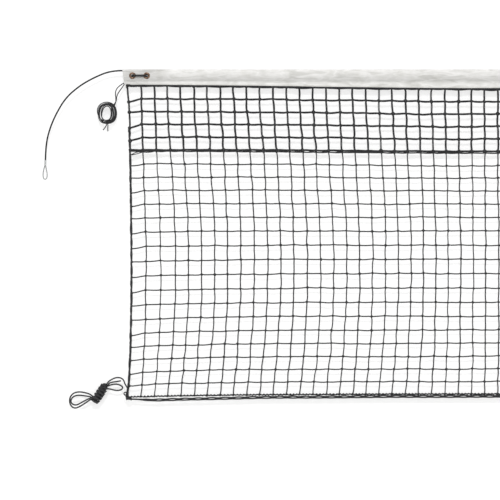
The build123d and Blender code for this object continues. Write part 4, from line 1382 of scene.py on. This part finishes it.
def build_eyelets():
    """Rolled brass eyelets with a rounded front flange and a lip set over the washer."""
    low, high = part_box("eyelets")
    radius = (high[2] - low[2]) / 2
    z = (low[2] + high[2]) / 2
    face = 2.3 * MM
    hole = 5.0 * MM
    back = high[1]
    outline = []
    for k in range(13):
        a = math.pi * k / 12
        r = (hole + radius) / 2 + (radius - hole) / 2 * math.cos(a)
        outline.append((r, -face - 1.5 * MM * math.sin(a) ** 0.8))
    outline += [(hole, 0.0), (hole, back - 0.4 * MM), (hole + 0.5 * MM, back)]
    lip = back - 0.7 * MM
    outline += [(hole + 1.8 * MM, back), (hole + 2.4 * MM, lip), (hole + 0.8 * MM, lip)]
    outline += [(hole + 0.8 * MM, -face)]
    centres = [(side * (HALF - inset), z) for side in (-1, 1) for inset in EYELET_INSETS]
    piece = turned("brass_eyelets", outline, centres, "brass")
    place(piece, "root", "brass", "eyelets")
    dress("eyelet_washers", "brass")


# ---------------------------------------------------------------- netting
def build_netting():
    """Spans of netting side by side, so that no piece is too heavy."""
    s = settings()
    pitch = 2 * HALF / s.columns
    middle = (NET_LOW[1] + NET_HIGH[1]) / 2
    joint = DOUBLE_LOW[2]
    head = HEAD_LOW[2]
    double_top = head + 1.0 * MM
    single_top = joint - 3.5 * MM
    single_height = single_top - NET_LOW[2] - s.twine / 2
    shared = {
        "Net Top": NET_TOP, "Net Foot": NET_FOOT, "Lean": LEAN, "Hem Sag": HEM_SAG,
        "All Columns": s.columns, "Left": -HALF, "Depth": middle, "Pitch": pitch, "Sag": s.sag,
        "Wander": s.wander, "Jitter": s.jitter, "Material": finish_named("twine"),
    }
    for spans, name, node, tree, own in (
        (4, "doubled_netting", "double_netting", "doubled", {
            "Rows": s.double_rows, "Top": double_top,
            "Row Height": (head - joint - 2 * MM) / s.double_rows, "Strand Gap": 3.3 * MM,
            "Knot Size": 5.0 * MM, "Seed": 2.0, "Twine Radius": s.twine / 2 * DOUBLE_THICKER,
            "Edge Droop": 11 * MM, "Sag At Top": 1.0, "Sag Lost": 0.4, "Row Swell": 0.0, "End Drop": 4 * MM,
        }),
        (8, "single_netting_twine", "single_netting", "single", {
            "Rows": s.single_rows, "Top": single_top, "Row Height": single_height / s.single_rows,
            "Knot Size": 3.6 * MM, "Seed": 5.0, "Twine Radius": s.twine / 2 * SINGLE_THICKER,
            "Edge Droop": 6 * MM,
            "Sag At Top": 0.6, "Sag Lost": 0.6, "Row Swell": 9.0 * MM, "End Drop": END_DROP,
        }),
    ):
        width = s.columns // spans
        for span in range(spans):
            last = span == spans - 1
            values = {**shared, **own, "First Column": span * width, "Columns": width,
                      "Uprights": width + (1 if last else 0)}
            piece = grown(f"{name}_{span + 1}", tree_named(tree), values)
            place(piece, "root", "netting_twine", node)


# ---------------------------------------------------------------- ropes and lacing
def wound(start, end, radius, pitch, phase, per_turn, waver=0.0, seed=0.0):
    """A helix from start to end; waver makes it uneven."""
    axis = end - start
    length = axis.length
    along = axis.normalized()
    one = Vector((0, 1, 0))
    two = along.cross(one)
    steps = max(2, int(length / pitch * per_turn))
    points = []
    for i in range(steps + 1):
        at = length * i / steps
        uneven = 1 + waver * drift(at * 9.0, seed)
        angle = 2 * math.pi * at / pitch + phase + waver * 1.4 * drift(at * 5.0, seed + 4)
        reach = radius * uneven
        around = one * (reach * math.cos(angle)) + two * (reach * math.sin(angle))
        points.append(start + along * at + around)
    return points


def build_ropes():
    build_head_rope()
    build_joining_cord()
    build_side_ropes()
    build_bottom_rope()
    build_corner_knots()


def build_head_rope():
    """The netting's top line, laced to the hem, and a second strand that meets it every few meshes."""
    steps = COLUMNS * 6
    rope, second = [], []
    for i in range(steps + 1):
        column = i / 6
        x = -HALF + 2 * HALF * i / steps
        hem = hem_height(x)
        wave = 0.5 * drift(column * 0.9, 3.0)
        rope.append(Vector((x, (0.3 + wave) * MM, hem - (1.4 + 0.5 * drift(column * 1.7, 8.0)) * MM)))
        open_by = math.sin(math.pi * (column + 1.2 * drift(column * 0.11, 5.0)) / 2.9) ** 2
        below = 3.4 + 4.6 * open_by * (0.7 + 0.6 * drift(column * 0.2, 6.0))
        second.append(Vector((x, (0.9 - wave) * MM, hem - below * MM)))
    piece = cords("head_rope_line", [rope, second], 1.8 * MM, "twine", 5)
    place(piece, "root", "black_cord", "head_rope")


def build_joining_cord():
    """Two strands that cross along the joint between the doubled and the single netting."""
    z = (JOIN_LOW[2] + JOIN_HIGH[2]) / 2
    lines = []
    steps = COLUMNS * 6
    for hand in (-1, 1):
        line = []
        for i in range(steps + 1):
            column = i / 6
            x = -HALF + 2 * HALF * i / steps
            turn = math.pi * (column + 0.35 * drift(column * 0.13, 2.0))
            level = z - 0.6 * hem_sag(x) - foot_drop(x) * 0.25
            level -= 13.0 * MM * math.exp(-1.3 * min(column, COLUMNS - column))
            open_by = 3.6 * math.sin(turn) * (0.7 + 0.6 * drift(column * 0.31, 7.0))
            inward = 1.2 * edge_lean(z) * math.exp(-0.7 * min(column, COLUMNS - column))
            y = (0.8 + 1.5 * hand * math.cos(turn)) * MM
            line.append(Vector((x - math.copysign(inward, x), y, level + hand * open_by * MM)))
        lines.append(line)
    piece = cords("joining_cord_lacing", lines, 1.5 * MM, "cord", 5)
    place(piece, "root", "black_cord", "joining_cord")


def build_side_ropes():
    """The edge's rope and the lacing that crosses it at each row."""
    y = (SIDE_LOW[1] + SIDE_HIGH[1]) / 2
    row = (NET_TOP - NET_FOOT) / (DOUBLE_ROWS + SINGLE_ROWS)
    for side, hand in ((-1, "left"), (1, "right")):
        rope, lacing, third = [], [], []
        top = SIDE_HIGH[2]
        foot = ROPE_HIGH[2] - foot_drop(HALF)
        steps = 300
        for i in range(steps + 1):
            z = top + (foot - top) * i / steps
            rows = (top - z) / row
            wander = drift(rows * 0.4, 2.0 + side)
            turn = math.pi * (rows + 0.7 * wander)
            x = HALF + 1.2 * MM - edge_lean(z)
            gap = 2.6 + 0.9 * drift(rows * 0.7, 9.0)
            swing, depth = gap * math.sin(turn) * MM, 1.6 * MM * math.cos(turn)
            rope.append(Vector((side * (x + 0.55 * swing), y + depth, z)))
            lacing.append(Vector((side * (x - swing), y - depth, z)))
            faster = turn * 2.0 + 1.0
            third_x = side * (x + 1.9 * MM * math.sin(faster))
            third.append(Vector((third_x, y - 2.8 * MM * math.cos(faster), z)))
        piece = cords(f"side_rope_cord_{hand}", [rope], 2.6 * MM, "cord", 8)
        place(piece, "root", "black_cord", f"side_rope_{hand}")
        piece = cords(f"side_lacing_{hand}", [lacing, third], 1.9 * MM, "cord", 6)
        place(piece, "root", "black_cord", f"side_lashings_{hand}")


def build_bottom_rope():
    """The bottom rope and the lacing that whips it to the netting's last line."""
    rope_z = (ROPE_LOW[2] + ROPE_HIGH[2]) / 2
    rope_y = (ROPE_LOW[1] + ROPE_HIGH[1]) / 2
    line_z = NET_LOW[2] + 1.4 * MM
    reach = ROPE_HIGH[0] - 3 * MM
    steps = COLUMNS * 5
    rope, second, whip = [], [], []
    for i in range(steps + 1):
        x = -reach + 2 * reach * i / steps
        column = i / 5
        drop = foot_drop(x)
        level = rope_z - drop + 0.9 * MM * drift(x * 5.0, 3.0)
        # at every upright the ropes are pinched up against the netting's last line
        pinch = math.cos(math.pi * (column + 0.3 * drift(column * 0.12, 4.0))) ** 2
        low = 3.5 + 6.5 * math.exp(-min(column, COLUMNS - column) / 9.0)
        ends = smoothstep(min(column, COLUMNS - column) / 2.5)
        level -= low * MM * ends
        rope.append(Vector((x, rope_y, level + 0.8 * pinch * MM)))
        second.append(Vector((x, rope_y - 1.2 * MM, level + (4.6 + 1.6 * (1.0 - pinch)) * ends * MM)))
    turns = COLUMNS * 4
    for i in range(turns * 6 + 1):
        share = i / (turns * 6)
        x = -HALF + 2 * HALF * share
        angle = math.pi * 2 * i / 6 + 1.2 * drift(x * 11.0, 1.0)
        level = line_z - foot_drop(x)
        whip.append(Vector((x, rope_y + 2.1 * MM * math.cos(angle), level + 2.1 * MM * math.sin(angle))))
    piece = cords("bottom_rope_cord", [rope, second], 2.7 * MM, "cord", 6)
    place(piece, "root", "black_cord", "bottom_rope")
    piece = cords("bottom_lacing", [whip], 1.9 * MM, "cord", 4)
    place(piece, "root", "black_cord", "bottom_lashings")


def build_corner_knots():
    """Bulky knots at the headband's corner, at the top of the side rope and at the foot."""
    for side, hand in ((-1, "left"), (1, "right")):
        low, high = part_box(f"corner_knots_{hand}")
        out = Vector((side * MM, 0, 0))
        up = Vector((0, 0, MM))
        back = Vector((0, MM, 0))
        top = Vector((side * HALF, 0.0, high[2]))
        inner, outer = top - out * 9 - up * 3 - back * 2, top + out * 3 - up * 2 - back * 1
        head = wound(inner, outer, 2.4 * MM, 0.0041, 0.0, 10)
        drape = wound(top + out * 1 - up * 3, top + out * 1.5 - up * 10, 2.2 * MM, 0.0041, 1.0, 10)
        z = SIDE_HIGH[2]
        edge = Vector((side * (HALF + 2.2 * MM - edge_lean(z)), (SIDE_LOW[1] + SIDE_HIGH[1]) / 2, z))
        upper = wound(edge - up * 12, edge + up * 3, 2.8 * MM, 0.0045, 0.0, 10)
        foot = Vector((side * (HALF + 0.8 * MM), low[1] + 5 * MM, low[2]))
        dropped = foot - Vector((0, 0, foot_drop(HALF)))
        lines = [
            head,
            drape,
            upper,
            wound(foot + up * 1.5, foot + up * 14, 3.7 * MM, 0.0046, 0.0, 12),
            wound(dropped + up * 2 - out * 3, foot + up * 1.5 - out * 2, 4.3 * MM, 0.0047, 2.0, 12),
            wound(foot - out * 14 - up * 7.5 + back * 1, foot - out * 3 - up * 4, 3.2 * MM, 0.0046, 1.0, 12),
            wound(foot - up * 8 - out * 2, foot + up * 2 + out * 1, 4.2 * MM, 0.0047, 1.4, 12),
            [foot + out * (6.0 + 4.6 * math.cos(a)) - back * 1 + up * (10.0 + 4.6 * math.sin(a))
             for a in (math.radians(20 * k - 160) for k in range(18))],
        ]
        piece = cords(f"corner_knot_cords_{hand}", lines, 2.1 * MM, "cord", 8)
        place(piece, "root", "black_cord", f"corner_knots_{hand}")


# ---------------------------------------------------------------- registering and running
def register():
    for item in (TennisNetSettings, *OPERATORS, TENNISNET_PT_panel):
        bpy.utils.register_class(item)
    bpy.types.Scene.tennis_net = bpy.props.PointerProperty(type=TennisNetSettings)


def unregister():
    del bpy.types.Scene.tennis_net
    for item in (TENNISNET_PT_panel, *reversed(OPERATORS), TennisNetSettings):
        bpy.utils.unregister_class(item)


def main():
    register()
    for operator in OPERATORS:
        module, name = operator.bl_idname.split(".")
        getattr(getattr(bpy.ops, module), name)()


if __name__ == "__main__":
    main()
